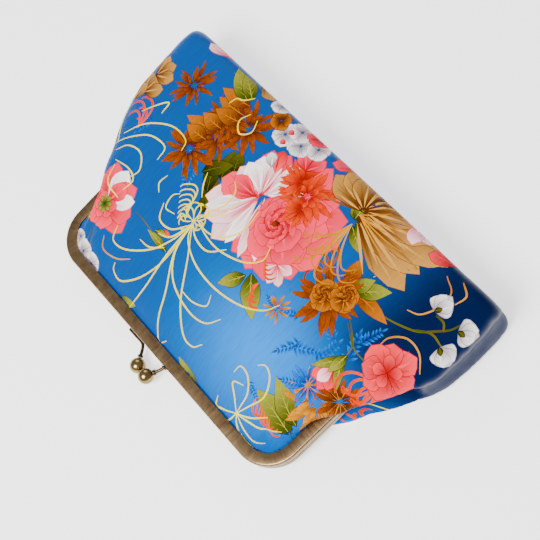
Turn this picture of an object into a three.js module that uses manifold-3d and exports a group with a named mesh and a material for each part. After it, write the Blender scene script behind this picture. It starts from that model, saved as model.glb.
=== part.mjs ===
// Evening clutch with a metal snap frame, lying on its back. Millimetres, +Z up.
// The bag is drawn in its own frame: x across, down from the bar towards the base, and height over the
// middle plane between the two frame halves. The whole bag is then tipped so that its back lies flat on z = 0.
import * as THREE from 'three';
import { mergeVertices } from 'three/addons/utils/BufferGeometryUtils.js';
import Module from 'manifold-3d';

const wasm = await Module();
wasm.setup();

// Frame: two channels of bent sheet metal, riveted together at the ends of their arms.
const frameWidth = 200; // outside, at the top of the arms
const frameBand = 6.8; // the face that shows
const cornerRadius = 22; // outside
const hingeDown = 75; // from the bar's outer edge to the rivets
const armSplay = THREE.MathUtils.degToRad(1); // the arms spread towards the hinge
const sheetMetal = 0.8;
const edgeRounding = 1.2;
const halvesGap = 0.3; // between the closed halves
const fit = 0.3; // clearance between pieces that touch on the real bag
const rivetRadius = 1.2;
const rivetHead = 0.9; // how far a rivet's head stands out, along and across its axis
const lugThickness = 1;
const lugRadius = 3.2; // round end of each arm, about the rivet
const lugReach = 9.5; // from the end of the channel to the rivet

// Clasp: two balls on bent stems that snap past each other.
const ballDiameter = 9;
const ballsApart = 9.2; // between centres, across
const ballsStagger = 2; // between centres, front to back
const ballsOffset = -1.3; // the pair's middle, across
const ballsRise = 11.2; // centres, over the bar
const stemRadius = 0.95;
const stemCollarRadius = 1.6;
const stemCollarLength = 1.3;
const backStemFoot = 13; // stretch of the back stem that lies along the bar
const backStemFootAt = 10.5; // where it bends up, across
const frontStemFootAt = -10.9;
const footPadRadius = 1.7;
const footPadHeight = 0.6;
const stemSetBack = 2; // from the middle plane

// Bag: two panels of lined and padded satin, held in the frame's channels and sewn to each other below it.
const bagWidth = 252; // at the widest, low on the sides
const bagHeight = 145; // from the bar's outer edge to the base
const baseDepth = 39; // front to back, at the boxed base
const cloth = 1.5;
const restHeight = 7; // the middle plane at the bar, over the surface that the bag lies on
const baseRounding = 7; // edge between a panel and the base
const cornerDraw = 0.35; // how far the base's rounding draws the corners in, share of its radius
const baseEndShare = 0.12; // stretch of the base's middle seam at each end that the corner's seam takes up
const seamInset = 1.4; // how far the side seam is drawn in
const sidesMeetOver = 12; // length over which the panels come together below the rivets
const sidesMeetBelow = 5; // from the rivets to where they start
const restHollow = 0.2; // how far the middle of the back is off the surface: it bears on the corners of its rest
const restMiddle = 78.8; // middle of the rest, down
const restHalfDown = 65.5;
const restHalfAcross = 122;
const bareEdge = 1.6; // how far the cloth's edge turns outwards below the channel

// Sections of the front panel. down: share of bagHeight. reach: share of the way from the frame's inner edge to
// half the bag's width. crest and roll: height of the middle and width of the rounded side, shares of half the
// base's depth. box: how square the rounded side is, 2 for an ellipse. belly: height of the widest point, share
// of the crest.
const FRONT_SECTIONS = [
  { down: 0.062, reach: -0.12, crest: 0.16, roll: 0.45, box: 2.0, belly: 0.5 },
  { down: 0.083, reach: -0.12, crest: 0.27, roll: 0.6, box: 2.0, belly: 0.5 },
  { down: 0.115, reach: -0.1, crest: 0.4, roll: 0.8, box: 2.0, belly: 0.5 },
  { down: 0.16, reach: -0.09, crest: 0.52, roll: 1.0, box: 2.0, belly: 0.5 },
  { down: 0.23, reach: 0.0, crest: 0.65, roll: 1.2, box: 2.1, belly: 0.55 },
  { down: 0.29, reach: 0.1, crest: 0.74, roll: 1.35, box: 2.1, belly: 0.58 },
  { down: 0.36, reach: 0.3, crest: 0.82, roll: 1.55, box: 2.1, belly: 0.55 },
  { down: 0.42, reach: 0.43, crest: 0.88, roll: 1.75, box: 2.1, belly: 0.52 },
  { down: 0.5, reach: 0.65, crest: 0.95, roll: 1.85, box: 2.1, belly: 0.46 },
  { down: 0.57, reach: 0.8, crest: 1.0, roll: 1.9, box: 2.1, belly: 0.4 },
  { down: 0.67, reach: 0.96, crest: 1.05, roll: 1.85, box: 2.1, belly: 0.32 },
  { down: 0.77, reach: 1.0, crest: 1.06, roll: 1.7, box: 2.2, belly: 0.3 },
  { down: 0.86, reach: 1.0, crest: 1.03, roll: 1.4, box: 2.4, belly: 0.32 },
  { down: 0.93, reach: 0.985, crest: 0.98, roll: 1.05, box: 2.7, belly: 0.36 },
  { down: 0.952, reach: 0.97, crest: 0.96, roll: 0.95, box: 2.8, belly: 0.38 },
];

// The back panel lies on the surface, so its crest is the surface's own distance. Its sides are fuller.
const backBelly = 0.78;
const backBox = 2.3;
const backRoll = 0.9; // share of the front's roll
const floorPress = 1.04; // how much farther than the surface the back would hang by itself
const backDrop = 1.1; // how steeply it falls from the bar to the surface

// Folds and hollows in the front panel. across: share of half the bag's width. down: share of bagHeight.
// long and wide: radii, as shares of half the bag's width. deep: share of half the base's depth. lean: degrees.
const FRONT_FOLDS = [
  { across: -0.66, down: 0.1, long: 0.15, wide: 0.022, deep: 0.09, lean: 62 },
  { across: 0.645, down: 0.15, long: 0.12, wide: 0.025, deep: 0.07, lean: -66 },
  { across: -0.6, down: 0.27, long: 0.2, wide: 0.05, deep: 0.07, lean: 70 },
  { across: 0.58, down: 0.33, long: 0.22, wide: 0.055, deep: 0.06, lean: -68 },
  { across: 0.12, down: 0.95, long: 0.13, wide: 0.06, deep: 0.05, lean: 4 },
  { across: -0.77, down: 0.93, long: 0.07, wide: 0.05, deep: 0.09, lean: 12 },
  { across: -0.74, down: 0.8, long: 0.25, wide: 0.07, deep: 0.08, lean: 80 },
  { across: 0.3, down: 0.72, long: 0.35, wide: 0.12, deep: 0.035, lean: -50 },
  { across: -0.28, down: 0.55, long: 0.4, wide: 0.12, deep: 0.03, lean: 62 },
];

// Mesh counts.
const cornerSteps = 8;
const edgeSteps = 3;
const flangeSteps = 2;
const swellSteps = 4;
const roundSteps = 5;
const middleSteps = 5;
const rollSteps = 3;
const baseSteps = 2;
const roundSides = 12;
const rodSides = 8;
const DOWN_ROWS = [
  0.067, 0.079, 0.096, 0.12, 0.155, 0.2, 0.25, 0.305, 0.36, 0.4, 0.435, 0.468, 0.51, 0.55, 0.58, 0.61, 0.64,
  0.69, 0.75, 0.81, 0.87, 0.92,
]; // shares of bagHeight

// Sizes that follow.
const halfDepth = 2 * (sheetMetal + fit) + cloth; // one frame half, front to back
const slotMiddle = halvesGap / 2 + sheetMetal + fit + cloth / 2;
const slotEdge = sheetMetal + fit; // the cloth's edge, from the frame's outer edge
const lip = frameBand + fit + cloth / 2 + 0.05; // where the cloth turns up, from the frame's outer edge
const channelEnd = hingeDown - lugReach + lugRadius;
const clothLeaves = channelEnd - fit - 3; // where the cloth's edge leaves the channel
const riser = sheetMetal + 2 * fit + cloth; // height that the cloth climbs over the lip
const lowSteps = flangeSteps + 1 + swellSteps;
const tipping = Math.asin((baseDepth / 2 - restHeight) / bagHeight);
const halfWidth = bagWidth / 2;
const crestUnit = baseDepth / 2;
const FRONT = 1;
const BACK = -1;
const LEFT = -1;
const RIGHT = 1;

const brass = () => new THREE.MeshStandardMaterial({ color: 0x7a5c36, roughness: 0.42, metalness: 1 });
const ballBrass = () => new THREE.MeshStandardMaterial({ color: 0x8d7a48, roughness: 0.22, metalness: 1 });
const satin = () => new THREE.MeshStandardMaterial({ color: 0x0b86cf, roughness: 0.38, metalness: 0 });

const lerp = THREE.MathUtils.lerp;
const smooth = (value, from, to) => THREE.MathUtils.smoothstep(value, from, to);
// Half the frame's outside width at a distance down.
const armAt = (down) => frameWidth / 2 + Math.max(0, down - cornerRadius) * Math.tan(armSplay);

// A row of FRONT_SECTIONS at any share of the height, on smooth curves through the table.
function sectionAt(share) {
  const rows = FRONT_SECTIONS;
  const last = rows.length - 1;
  const at = Math.min(Math.max(share, rows[0].down), rows[last].down);
  let i = 0;
  while (i < last - 1 && rows[i + 1].down < at) i++;
  const t = (at - rows[i].down) / (rows[i + 1].down - rows[i].down);
  const value = (key) => {
    const slope = (k) => {
      const a = rows[Math.max(k - 1, 0)];
      const b = rows[Math.min(k + 1, last)];
      return (b[key] - a[key]) / (b.down - a.down);
    };
    const step = rows[i + 1].down - rows[i].down;
    const start = rows[i][key] * (2 * t ** 3 - 3 * t ** 2 + 1) + slope(i) * step * (t ** 3 - 2 * t ** 2 + t);
    const end = rows[i + 1][key] * (3 * t ** 2 - 2 * t ** 3) + slope(i + 1) * step * (t ** 3 - t ** 2);
    return start + end;
  };
  return {
    reach: value('reach'), crest: value('crest'), roll: value('roll'), box: value('box'), belly: value('belly'),
  };
}

const cubic = (a, b, c, d, t) => (
  a * (1 - t) ** 3 + 3 * b * t * (1 - t) ** 2 + 3 * c * t ** 2 * (1 - t) + d * t ** 3
);

// What a panel's section is made from at a distance down: the edge in the channel or the seam, the widest point of
// the side, and the crest.
function sectionSizes(face, down) {
  const s = sectionAt(down / bagHeight);
  const lipAcross = armAt(down) - lip;
  const wide = lipAcross + s.reach * (halfWidth - lipAcross);
  const surface = restHeight / Math.cos(tipping) + down * Math.tan(tipping); // from the middle plane, along it
  const drop = Math.min(surface * floorPress, slotMiddle + (down - lip) * backDrop);
  const crest = face === FRONT ? s.crest * crestUnit : Math.max(drop, slotMiddle);
  const belly = slotMiddle + (crest - slotMiddle) * (face === FRONT ? s.belly : backBelly);
  return {
    edge: lipAcross,
    flange: lerp(lip - slotEdge, bareEdge, smooth(down, clothLeaves, channelEnd - fit)),
    over: slotMiddle + Math.min(riser, (belly - slotMiddle) / 2),
    wide,
    belly,
    crest,
    roll: s.roll * crestUnit * (face === FRONT ? 1 : backRoll),
    box: 2 / (face === FRONT ? s.box : backBox),
    apart: smooth(down, hingeDown + sidesMeetBelow, hingeDown + sidesMeetBelow + sidesMeetOver),
  };
}

// One point of a panel's half section, as distance from the middle and height over the middle plane. step runs from
// the edge in the channel, over the frame's lip and out to the side's widest point, then round to the middle.
function sectionPoint(s, step) {
  if (step <= lowSteps) {
    let across = s.edge + s.flange * Math.max(0, 1 - step / flangeSteps);
    let height = slotMiddle;
    const t = (step - flangeSteps - 1) / swellSteps;
    if (step > flangeSteps) {
      across = cubic(s.edge, lerp(s.edge, s.wide, 0.15), s.wide, s.wide, t);
      height = cubic(s.over, lerp(s.over, s.belly, 0.35), lerp(s.over, s.belly, 0.5), s.belly, t);
    }
    const seam = s.wide - seamInset;
    const u = step / lowSteps;
    return [
      lerp(across, cubic(seam, seam, s.wide, s.wide, u), s.apart),
      lerp(height, lerp(halvesGap / 2, s.belly, u), s.apart),
    ];
  }
  if (step <= lowSteps + roundSteps) {
    const angle = (step - lowSteps) / roundSteps * Math.PI / 2;
    return [
      s.wide - s.roll * (1 - Math.cos(angle) ** s.box),
      s.belly + (s.crest - s.belly) * Math.sin(angle) ** s.box,
    ];
  }
  return [lerp(s.wide - s.roll, 0, (step - lowSteps - roundSteps) / middleSteps), s.crest];
}

// Rounds a point near a corner: a is its distance in from the arm's outer line and b from the bar's.
function roundCorner(across, down, side) {
  const a = armAt(down) - across;
  const b = down;
  if (a >= cornerRadius || b >= cornerRadius) return [side * across, down];
  const ring = cornerRadius - Math.min(a, b);
  const turn = b <= a ? (cornerRadius - a) / ring : 2 - (cornerRadius - b) / ring;
  const angle = turn * Math.PI / 4;
  return [
    side * (frameWidth / 2 - cornerRadius + ring * Math.sin(angle)),
    cornerRadius - ring * Math.cos(angle),
  ];
}

// How deep the folds lie at a point of the front panel.
function foldDepth(across, down) {
  let depth = 0;
  for (const fold of FRONT_FOLDS) {
    const dx = across - fold.across * halfWidth;
    const dy = down - fold.down * bagHeight;
    const lean = THREE.MathUtils.degToRad(fold.lean);
    const along = (dx * Math.cos(lean) - dy * Math.sin(lean)) / (fold.long * halfWidth);
    const aside = (dx * Math.sin(lean) + dy * Math.cos(lean)) / (fold.wide * halfWidth);
    depth += fold.deep * crestUnit * Math.exp(-(along ** 2) - aside ** 2);
  }
  return depth;
}

// From the bag's own frame to the frame that it lies in.
function laidDown(across, down, height) {
  return new THREE.Vector3(
    across,
    -down * Math.cos(tipping) + height * Math.sin(tipping),
    restHeight + down * Math.sin(tipping) + height * Math.cos(tipping),
  );
}

// How high the back's underside lies over the surface, at a point of the frame that it lies in.
function restHeightAt({ x, y }) {
  const across = Math.min(Math.abs(x) / restHalfAcross, 1);
  const along = Math.min(Math.abs(y + restMiddle) / restHalfDown, 1);
  return restHollow * (1 - across * along);
}

// The rows of a panel: in the bar's channel, down the panel, round the base's edge and in to the base's middle.
function panelRows() {
  const rows = [];
  for (let i = 0; i < flangeSteps; i++) rows.push({ down: lerp(slotEdge, lip, i / flangeSteps) });
  rows.push({ down: lip });
  for (const share of DOWN_ROWS) if (share * bagHeight > lip) rows.push({ down: share * bagHeight });
  const turn = bagHeight - baseRounding;
  for (let i = 0; i <= rollSteps; i++) {
    const angle = i / rollSteps * Math.PI / 2;
    rows.push({ down: turn, drop: baseRounding * Math.sin(angle), tuck: 1 - Math.cos(angle) });
  }
  for (let i = 1; i <= baseSteps; i++) rows.push({ down: turn, drop: baseRounding, tuck: 1, inward: i / baseSteps });
  return rows;
}

// The middle surface of a panel as a grid of points: rows from the bar to the base, columns from left to right.
function panelSurface(face) {
  const halfSteps = lowSteps + roundSteps + middleSteps;
  const base = halvesGap / 2;
  return panelRows().map(({ down, drop = 0, tuck = 0, inward = 0 }) => {
    const row = [];
    const sizes = sectionSizes(face, Math.max(down, lip));
    for (let column = -halfSteps; column <= halfSteps; column++) {
      const side = column < 0 ? LEFT : RIGHT;
      let [across, height] = sectionPoint(sizes, halfSteps - Math.abs(column));
      if (down <= lip) height = slotMiddle;
      const [x, y] = roundCorner(across, down, side);
      if (face === FRONT && down > lip) {
        const clear = smooth(height, slotMiddle * 1.6, slotMiddle * 3);
        height -= foldDepth(x, y) * clear;
      }
      const rounded = height - baseRounding * tuck * smooth(height, 0, baseRounding * 2);
      const z = lerp(Math.max(rounded, base), base, inward);
      const drawnIn = x * (1 - tuck * baseRounding * cornerDraw / halfWidth);
      const seamEnd = column / halfSteps * halfWidth * (1 - baseEndShare);
      const point = laidDown(lerp(drawnIn, seamEnd, inward), y + drop, face * z);
      point.z = Math.max(point.z, cloth / 2 + restHeightAt(point));
      row.push(point);
    }
    return row;
  });
}

// A closed sheet of the cloth's thickness round a grid of points. The grid's rows run down and its columns right.
function sheetGeometry(grid, outward) {
  const rows = grid.length;
  const columns = grid[0].length;
  const normals = grid.map((row, i) => row.map((_, j) => {
    const normal = new THREE.Vector3();
    for (const [di, dj] of [[0, 0], [0, -1], [-1, -1], [-1, 0]]) {
      const a = grid[i + di]?.[j + dj];
      const b = grid[i + di + 1]?.[j + dj];
      const c = grid[i + di]?.[j + dj + 1];
      const d = grid[i + di + 1]?.[j + dj + 1];
      if (!a || !b || !c || !d) continue;
      normal.add(d.clone().sub(a).cross(c.clone().sub(b)).normalize());
    }
    return normal.normalize().multiplyScalar(outward);
  }));
  const offset = (distance) => grid.map((row, i) => row.map((point, j) => {
    const moved = point.clone().addScaledVector(normals[i][j], distance);
    moved.z = Math.abs(moved.z) < 1e-3 ? 0 : moved.z;
    return moved;
  }));
  const outer = offset(cloth / 2);
  const inner = offset(-cloth / 2);
  const positions = [];
  const quad = (a, b, c, d) => {
    const corners = outward > 0 ? [a, b, c, a, c, d] : [a, c, b, a, d, c];
    for (const corner of corners) positions.push(...corner.toArray());
  };
  for (let i = 0; i < rows - 1; i++) {
    for (let j = 0; j < columns - 1; j++) {
      quad(outer[i][j], outer[i + 1][j], outer[i + 1][j + 1], outer[i][j + 1]);
      quad(inner[i][j], inner[i][j + 1], inner[i + 1][j + 1], inner[i + 1][j]);
    }
    quad(outer[i][0], inner[i][0], inner[i + 1][0], outer[i + 1][0]);
    const end = columns - 1;
    quad(outer[i][end], outer[i + 1][end], inner[i + 1][end], inner[i][end]);
  }
  for (let j = 0; j < columns - 1; j++) {
    quad(outer[0][j], outer[0][j + 1], inner[0][j + 1], inner[0][j]);
    const end = rows - 1;
    quad(outer[end][j], inner[end][j], inner[end][j + 1], outer[end][j + 1]);
  }
  return closedGeometry(soupOf(positions));
}

// The corners of a regular polygon about a point on the x axis.
const circlePoints = (radius, sides, x = 0) => Array.from({ length: sides }, (_, i) => new THREE.Vector2(
  x + radius * Math.cos(i / sides * Math.PI * 2), radius * Math.sin(i / sides * Math.PI * 2),
));

// Merges the vertices of a soup of triangles and leaves out the triangles that have no area.
function closedGeometry(soup, reach = 2e-3) {
  const merged = mergeVertices(soup, reach);
  const index = [];
  for (let i = 0; i < merged.index.count; i += 3) {
    const [a, b, c] = [0, 1, 2].map((k) => merged.index.getX(i + k));
    if (a !== b && b !== c && c !== a) index.push(a, b, c);
  }
  merged.setIndex(index);
  merged.computeVertexNormals();
  return merged;
}

const soupOf = (positions) => new THREE.BufferGeometry().setAttribute(
  'position', new THREE.Float32BufferAttribute(positions, 3),
);

// Solids to join or cut, and back.
function solidOf(geometry, matrix = new THREE.Matrix4()) {
  const bare = geometry.clone().applyMatrix4(matrix);
  bare.deleteAttribute('normal');
  bare.deleteAttribute('uv');
  const merged = closedGeometry(bare, 1e-4);
  return new wasm.Manifold(new wasm.Mesh({
    numProp: 3,
    vertProperties: new Float32Array(merged.attributes.position.array),
    triVerts: new Uint32Array(merged.index.array),
  }));
}

function geometryOf(solid) {
  const mesh = solid.getMesh();
  const geometry = new THREE.BufferGeometry();
  geometry.setAttribute('position', new THREE.Float32BufferAttribute(mesh.vertProperties, 3));
  geometry.setIndex([...mesh.triVerts]);
  geometry.computeVertexNormals();
  return geometry;
}

// The frame's outline at a distance in from its outer edge, from one end of the channel to the other.
function frameOutline(inside) {
  const points = [];
  const armX = (down) => armAt(down) - inside;
  points.push([armX(channelEnd), channelEnd]);
  for (let i = 0; i <= cornerSteps; i++) {
    const angle = i / cornerSteps * Math.PI / 2;
    const ring = cornerRadius - inside;
    const middle = frameWidth / 2 - cornerRadius;
    points.push([middle + ring * Math.cos(angle), cornerRadius - ring * Math.sin(angle)]);
  }
  return [...points, ...points.map(([x, y]) => [-x, y]).reverse()];
}

// One half of the frame: a channel bent from sheet, open towards the bag, with a lug on each arm for the rivet.
function frameHalfGeometry(face) {
  const near = halvesGap / 2;
  const far = near + halfDepth;
  const rounding = Array.from({ length: edgeSteps + 1 }, (_, i) => {
    const angle = i / edgeSteps * Math.PI / 2;
    return [edgeRounding * (1 - Math.cos(angle)), far - edgeRounding * (1 - Math.sin(angle))];
  });
  const profile = [
    [0, near], ...rounding, [frameBand, far],
    [frameBand, far - sheetMetal], [sheetMetal, far - sheetMetal],
    [sheetMetal, near + sheetMetal], [frameBand, near + sheetMetal], [frameBand, near],
  ];
  const rails = profile.map(([inside, height]) => (
    frameOutline(inside).map(([x, down]) => new THREE.Vector3(x, -down, face * height))
  ));
  const positions = [];
  const add = (a, b, c) => {
    for (const corner of face > 0 ? [a, b, c] : [a, c, b]) positions.push(...corner.toArray());
  };
  const count = profile.length;
  for (let k = 0; k < count; k++) {
    const here = rails[k];
    const next = rails[(k + 1) % count];
    for (let i = 0; i < here.length - 1; i++) {
      add(here[i], here[i + 1], next[i + 1]);
      add(here[i], next[i + 1], next[i]);
    }
  }
  const flat = profile.map(([inside, height]) => new THREE.Vector2(inside, height));
  const last = rails[0].length - 1;
  for (const [a, b, c] of THREE.ShapeUtils.triangulateShape(flat, [])) {
    const turned = THREE.ShapeUtils.isClockWise(flat);
    const [p, q] = turned ? [c, b] : [b, c];
    add(rails[a][0], rails[p][0], rails[q][0]);
    add(rails[a][last], rails[q][last], rails[p][last]);
  }
  let solid = solidOf(soupOf(positions));
  for (const side of [LEFT, RIGHT]) solid = solid.add(lugSolid(face, side));
  return geometryOf(solid);
}

// The lug at the end of an arm: the front half's outside, the back half's inside it.
function lugSolid(face, side) {
  const outer = armAt(hingeDown) - (face === FRONT ? 0 : lugThickness + fit);
  const shape = new THREE.Shape();
  const top = channelEnd - 2.5;
  const near = halvesGap / 2 + sheetMetal / 2;
  const far = halvesGap / 2 + halfDepth - sheetMetal / 2;
  shape.moveTo(-top, near);
  shape.lineTo(-channelEnd - fit, near);
  shape.absarc(-hingeDown, 0, lugRadius, -Math.PI / 3, -Math.PI * 1.5, true);
  shape.lineTo(-top, far);
  shape.closePath();
  shape.holes.push(new THREE.Path(circlePoints(rivetRadius + fit, roundSides, -hingeDown)));
  const plate = new THREE.ExtrudeGeometry(shape, { depth: lugThickness, bevelEnabled: false, curveSegments: 6 });
  // Shape x runs along the bag and shape y over the middle plane, extruded across.
  const matrix = new THREE.Matrix4().makeBasis(
    new THREE.Vector3(0, 1, 0), new THREE.Vector3(0, 0, 1), new THREE.Vector3(1, 0, 0),
  );
  const start = side === RIGHT ? outer - lugThickness : -outer;
  const plateSolid = solidOf(plate, new THREE.Matrix4().makeTranslation(start, 0, 0).multiply(matrix));
  // The foot that joins the lug to the channel's end.
  const footWidth = lugThickness * 2 + fit;
  const foot = new THREE.BoxGeometry(footWidth, channelEnd - top, far - near);
  const footAcross = side * (armAt(channelEnd) - footWidth / 2 - sheetMetal / 2);
  foot.translate(footAcross, -(channelEnd + top) / 2, (far + near) / 2);
  const joined = plateSolid.add(solidOf(foot));
  return face === BACK ? joined.mirror([0, 0, 1]) : joined;
}

// The rivet through both lugs, with a head at each end.
function rivetGeometry() {
  const half = lugThickness + fit / 2;
  const inside = half + fit;
  const end = inside + rivetHead;
  const head = rivetRadius + rivetHead + fit;
  const points = [
    [0, -end], [head * 0.7, -end], [head, -inside - rivetHead * 0.4], [head, -inside], [rivetRadius, -inside],
    [rivetRadius, inside], [head, inside], [head, inside + rivetHead * 0.4], [head * 0.7, end], [0, end],
  ].map(([r, y]) => new THREE.Vector2(r, y));
  return new THREE.LatheGeometry(points, 12);
}

// A round rod along points, as a solid.
function rodSolid(points, radius) {
  const circle = new THREE.Shape(circlePoints(radius, rodSides));
  const path = new THREE.CatmullRomCurve3(points, false, 'centripetal');
  return solidOf(new THREE.ExtrudeGeometry(circle, { steps: 14, extrudePath: path }));
}

// A short cylinder between two points, as a solid.
function discSolid(from, to, radius) {
  const axis = to.clone().sub(from);
  const geometry = new THREE.CylinderGeometry(radius, radius, axis.length(), 12);
  const turn = new THREE.Quaternion().setFromUnitVectors(new THREE.Vector3(0, 1, 0), axis.clone().normalize());
  const middle = from.clone().add(to).multiplyScalar(0.5);
  return solidOf(geometry, new THREE.Matrix4().compose(middle, turn, new THREE.Vector3(1, 1, 1)));
}

const ballCentre = (face) => new THREE.Vector3(
  ballsOffset - face * ballsApart / 2, ballsRise, face * ballsStagger / 2,
);

// A stem from the top of its frame half to its ball. The back one lies along the bar before it bends up.
function stemGeometry(face) {
  const ball = ballCentre(face);
  const seat = fit + stemRadius;
  const root = new THREE.Vector3(face === FRONT ? frontStemFootAt : backStemFootAt, seat, face * stemSetBack);
  const lean = ball.clone().sub(root).normalize();
  const top = ball.clone().addScaledVector(lean, -(ballDiameter / 2 + fit));
  const under = top.clone().addScaledVector(lean, -stemCollarLength);
  const inCollar = top.clone().addScaledVector(lean, -stemCollarLength / 2);
  let solid = discSolid(under, top, stemCollarRadius);
  if (face === FRONT) {
    const pad = root.clone().setY(fit);
    solid = solid.add(discSolid(pad, pad.clone().setY(fit + footPadHeight), footPadRadius));
    return geometryOf(solid.add(rodSolid([pad.clone().setY(fit + footPadHeight / 2), root.clone().lerp(
      under, 0.5), inCollar], stemRadius)));
  }
  const end = root.clone().setX(root.x + backStemFoot);
  const bend = root.clone().setX(root.x + stemRadius * 1.5);
  const rise = root.clone().lerp(under, 0.4);
  return geometryOf(solid.add(rodSolid([end, end.clone().lerp(bend, 0.5), bend, rise, inCollar], stemRadius)));
}

function node(name, geometry, material) {
  const mesh = new THREE.Mesh(geometry, material);
  mesh.name = name;
  return mesh;
}

// The frame and the clasp, in the bag's own frame with y from the bar's outer edge, tipped as the bag is.
function frameGroup() {
  const group = new THREE.Group();
  group.rotation.x = -tipping;
  group.position.z = restHeight;
  for (const [face, word] of [[FRONT, 'front'], [BACK, 'back']]) {
    group.add(node(`frame_${word}`, frameHalfGeometry(face), brass()));
    group.add(node(`clasp_stem_${word}`, stemGeometry(face), brass()));
    const ball = node(`clasp_ball_${word}`, new THREE.SphereGeometry(ballDiameter / 2, 16, 12), ballBrass());
    ball.position.copy(ballCentre(face));
    group.add(ball);
  }
  for (const [side, word] of [[LEFT, 'left'], [RIGHT, 'right']]) {
    const rivet = node(`hinge_rivet_${word}`, rivetGeometry(), brass());
    rivet.rotation.z = Math.PI / 2;
    rivet.position.set(side * (armAt(hingeDown) - lugThickness - fit / 2), -hingeDown, 0);
    group.add(rivet);
  }
  return group;
}

const clutch = new THREE.Group();
clutch.add(frameGroup());
clutch.add(node('bag_front', sheetGeometry(panelSurface(FRONT), 1), satin()));
clutch.add(node('bag_back', sheetGeometry(panelSurface(BACK), -1), satin()));

// The origin is under the middle of the whole.
clutch.updateMatrixWorld(true);
const middle = new THREE.Box3().setFromObject(clutch, true).getCenter(new THREE.Vector3());
clutch.position.set(-middle.x, -middle.y, 0);

export default clutch;
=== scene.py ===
"""Looks of an evening clutch that lies on its back.

It has a snap frame of antique brass, a clasp of two crossing balls, and a body of padded
satin with a flower print.
Lengths are in millimetres until a mesh is made.
"""

import logging
import math
from collections.abc import Callable, Sequence
from dataclasses import dataclass, field
from enum import Enum

import bmesh
import bpy
import numpy as np
from bpy.types import Material, Mesh, Node, NodeTree, NodeSocket, Object
from mathutils import Matrix, Vector
from mathutils.geometry import delaunay_2d_cdt

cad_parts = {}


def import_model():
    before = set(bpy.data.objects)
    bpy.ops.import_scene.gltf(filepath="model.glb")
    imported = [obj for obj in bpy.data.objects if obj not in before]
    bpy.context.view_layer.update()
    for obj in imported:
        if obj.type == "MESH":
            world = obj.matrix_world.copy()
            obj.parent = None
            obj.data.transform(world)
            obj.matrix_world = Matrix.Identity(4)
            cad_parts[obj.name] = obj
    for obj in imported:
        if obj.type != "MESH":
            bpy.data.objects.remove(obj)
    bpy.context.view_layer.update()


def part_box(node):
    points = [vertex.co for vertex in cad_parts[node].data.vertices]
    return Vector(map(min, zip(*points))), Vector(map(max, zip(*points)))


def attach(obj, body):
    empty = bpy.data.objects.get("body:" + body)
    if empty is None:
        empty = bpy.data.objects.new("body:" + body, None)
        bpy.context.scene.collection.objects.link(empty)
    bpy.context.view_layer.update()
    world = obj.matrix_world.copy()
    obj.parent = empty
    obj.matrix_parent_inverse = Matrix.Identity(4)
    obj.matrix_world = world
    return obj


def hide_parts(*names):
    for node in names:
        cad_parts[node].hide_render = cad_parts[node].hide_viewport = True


logging.basicConfig(level=logging.INFO, format="%(message)s")
log = logging.getLogger("clutch")

MM = 0.001
Point = tuple[float, float]
Colour = tuple[float, float, float]


class Face(Enum):
    """The two sides of the bag, with the sign of their height over the middle plane."""

    FRONT = 1
    BACK = -1

    @property
    def word(self) -> str:
        """The face's name as the nodes' names end in it."""
        return self.name.lower()


def smooth(value: np.ndarray | float, low: float, high: float) -> np.ndarray:
    """A smooth step from 0 at low to 1 at high."""
    t = np.clip((np.asarray(value, float) - low) / (high - low), 0.0, 1.0)
    return t * t * (3.0 - 2.0 * t)


def mix(a: np.ndarray | float, b: np.ndarray | float, t: np.ndarray | float) -> np.ndarray:
    """The value a share t of the way from a to b."""
    return np.asarray(a) + (np.asarray(b) - np.asarray(a)) * t


def cubic(a: float, b: float, c: float, d: float, t: np.ndarray) -> np.ndarray:
    """A cubic curve with four control values."""
    return a * (1 - t) ** 3 + 3 * b * t * (1 - t) ** 2 + 3 * c * t**2 * (1 - t) + d * t**3


@dataclass(frozen=True)
class FrameSizes:
    """Sizes of the snap frame and its clasp."""

    width: float = 200.0
    band: float = 6.8
    corner_radius: float = 22.0
    hinge_down: float = 75.0
    arm_splay: float = math.radians(1.0)
    metal: float = 0.8
    edge_rounding: float = 1.2
    halves_gap: float = 0.3
    fit: float = 0.3
    rivet_radius: float = 1.2
    rivet_head: float = 0.9
    lug_thickness: float = 1.0
    lug_radius: float = 3.2
    lug_reach: float = 9.5
    ball_diameter: float = 9.0
    balls_apart: float = 9.2
    balls_stagger: float = 2.0
    balls_offset: float = -1.3
    balls_rise: float = 11.2
    stem_radius: float = 0.95
    collar_radius: float = 1.6
    collar_length: float = 1.3
    back_foot: float = 13.0
    back_foot_at: float = 10.5
    front_foot_at: float = -10.9
    pad_radius: float = 1.7
    pad_height: float = 0.6
    stem_set_back: float = 2.0

    def arm_at(self, down: float) -> float:
        """Half the frame's outside width at a distance down."""
        return self.width / 2 + max(0.0, down - self.corner_radius) * math.tan(self.arm_splay)

    @property
    def channel_end(self) -> float:
        """Where the arms' channels end, down from the bar."""
        return self.hinge_down - self.lug_reach + self.lug_radius


@dataclass(frozen=True)
class BagSizes:
    """Sizes of the padded bag."""

    width: float = 252.0
    height: float = 145.0
    base_depth: float = 39.0
    cloth: float = 1.5
    rest_height: float = 7.0
    base_rounding: float = 7.0
    corner_draw: float = 0.35
    base_end_share: float = 0.12
    seam_inset: float = 1.4
    sides_meet_over: float = 12.0
    sides_meet_below: float = 5.0
    bare_edge: float = 1.6
    back_belly: float = 0.78
    back_box: float = 2.3
    back_roll: float = 0.9
    floor_press: float = 1.04
    back_drop: float = 1.1

    @property
    def tipping(self) -> float:
        """How far the bag is tipped so that its back lies flat."""
        return math.asin((self.base_depth / 2 - self.rest_height) / self.height)


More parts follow.
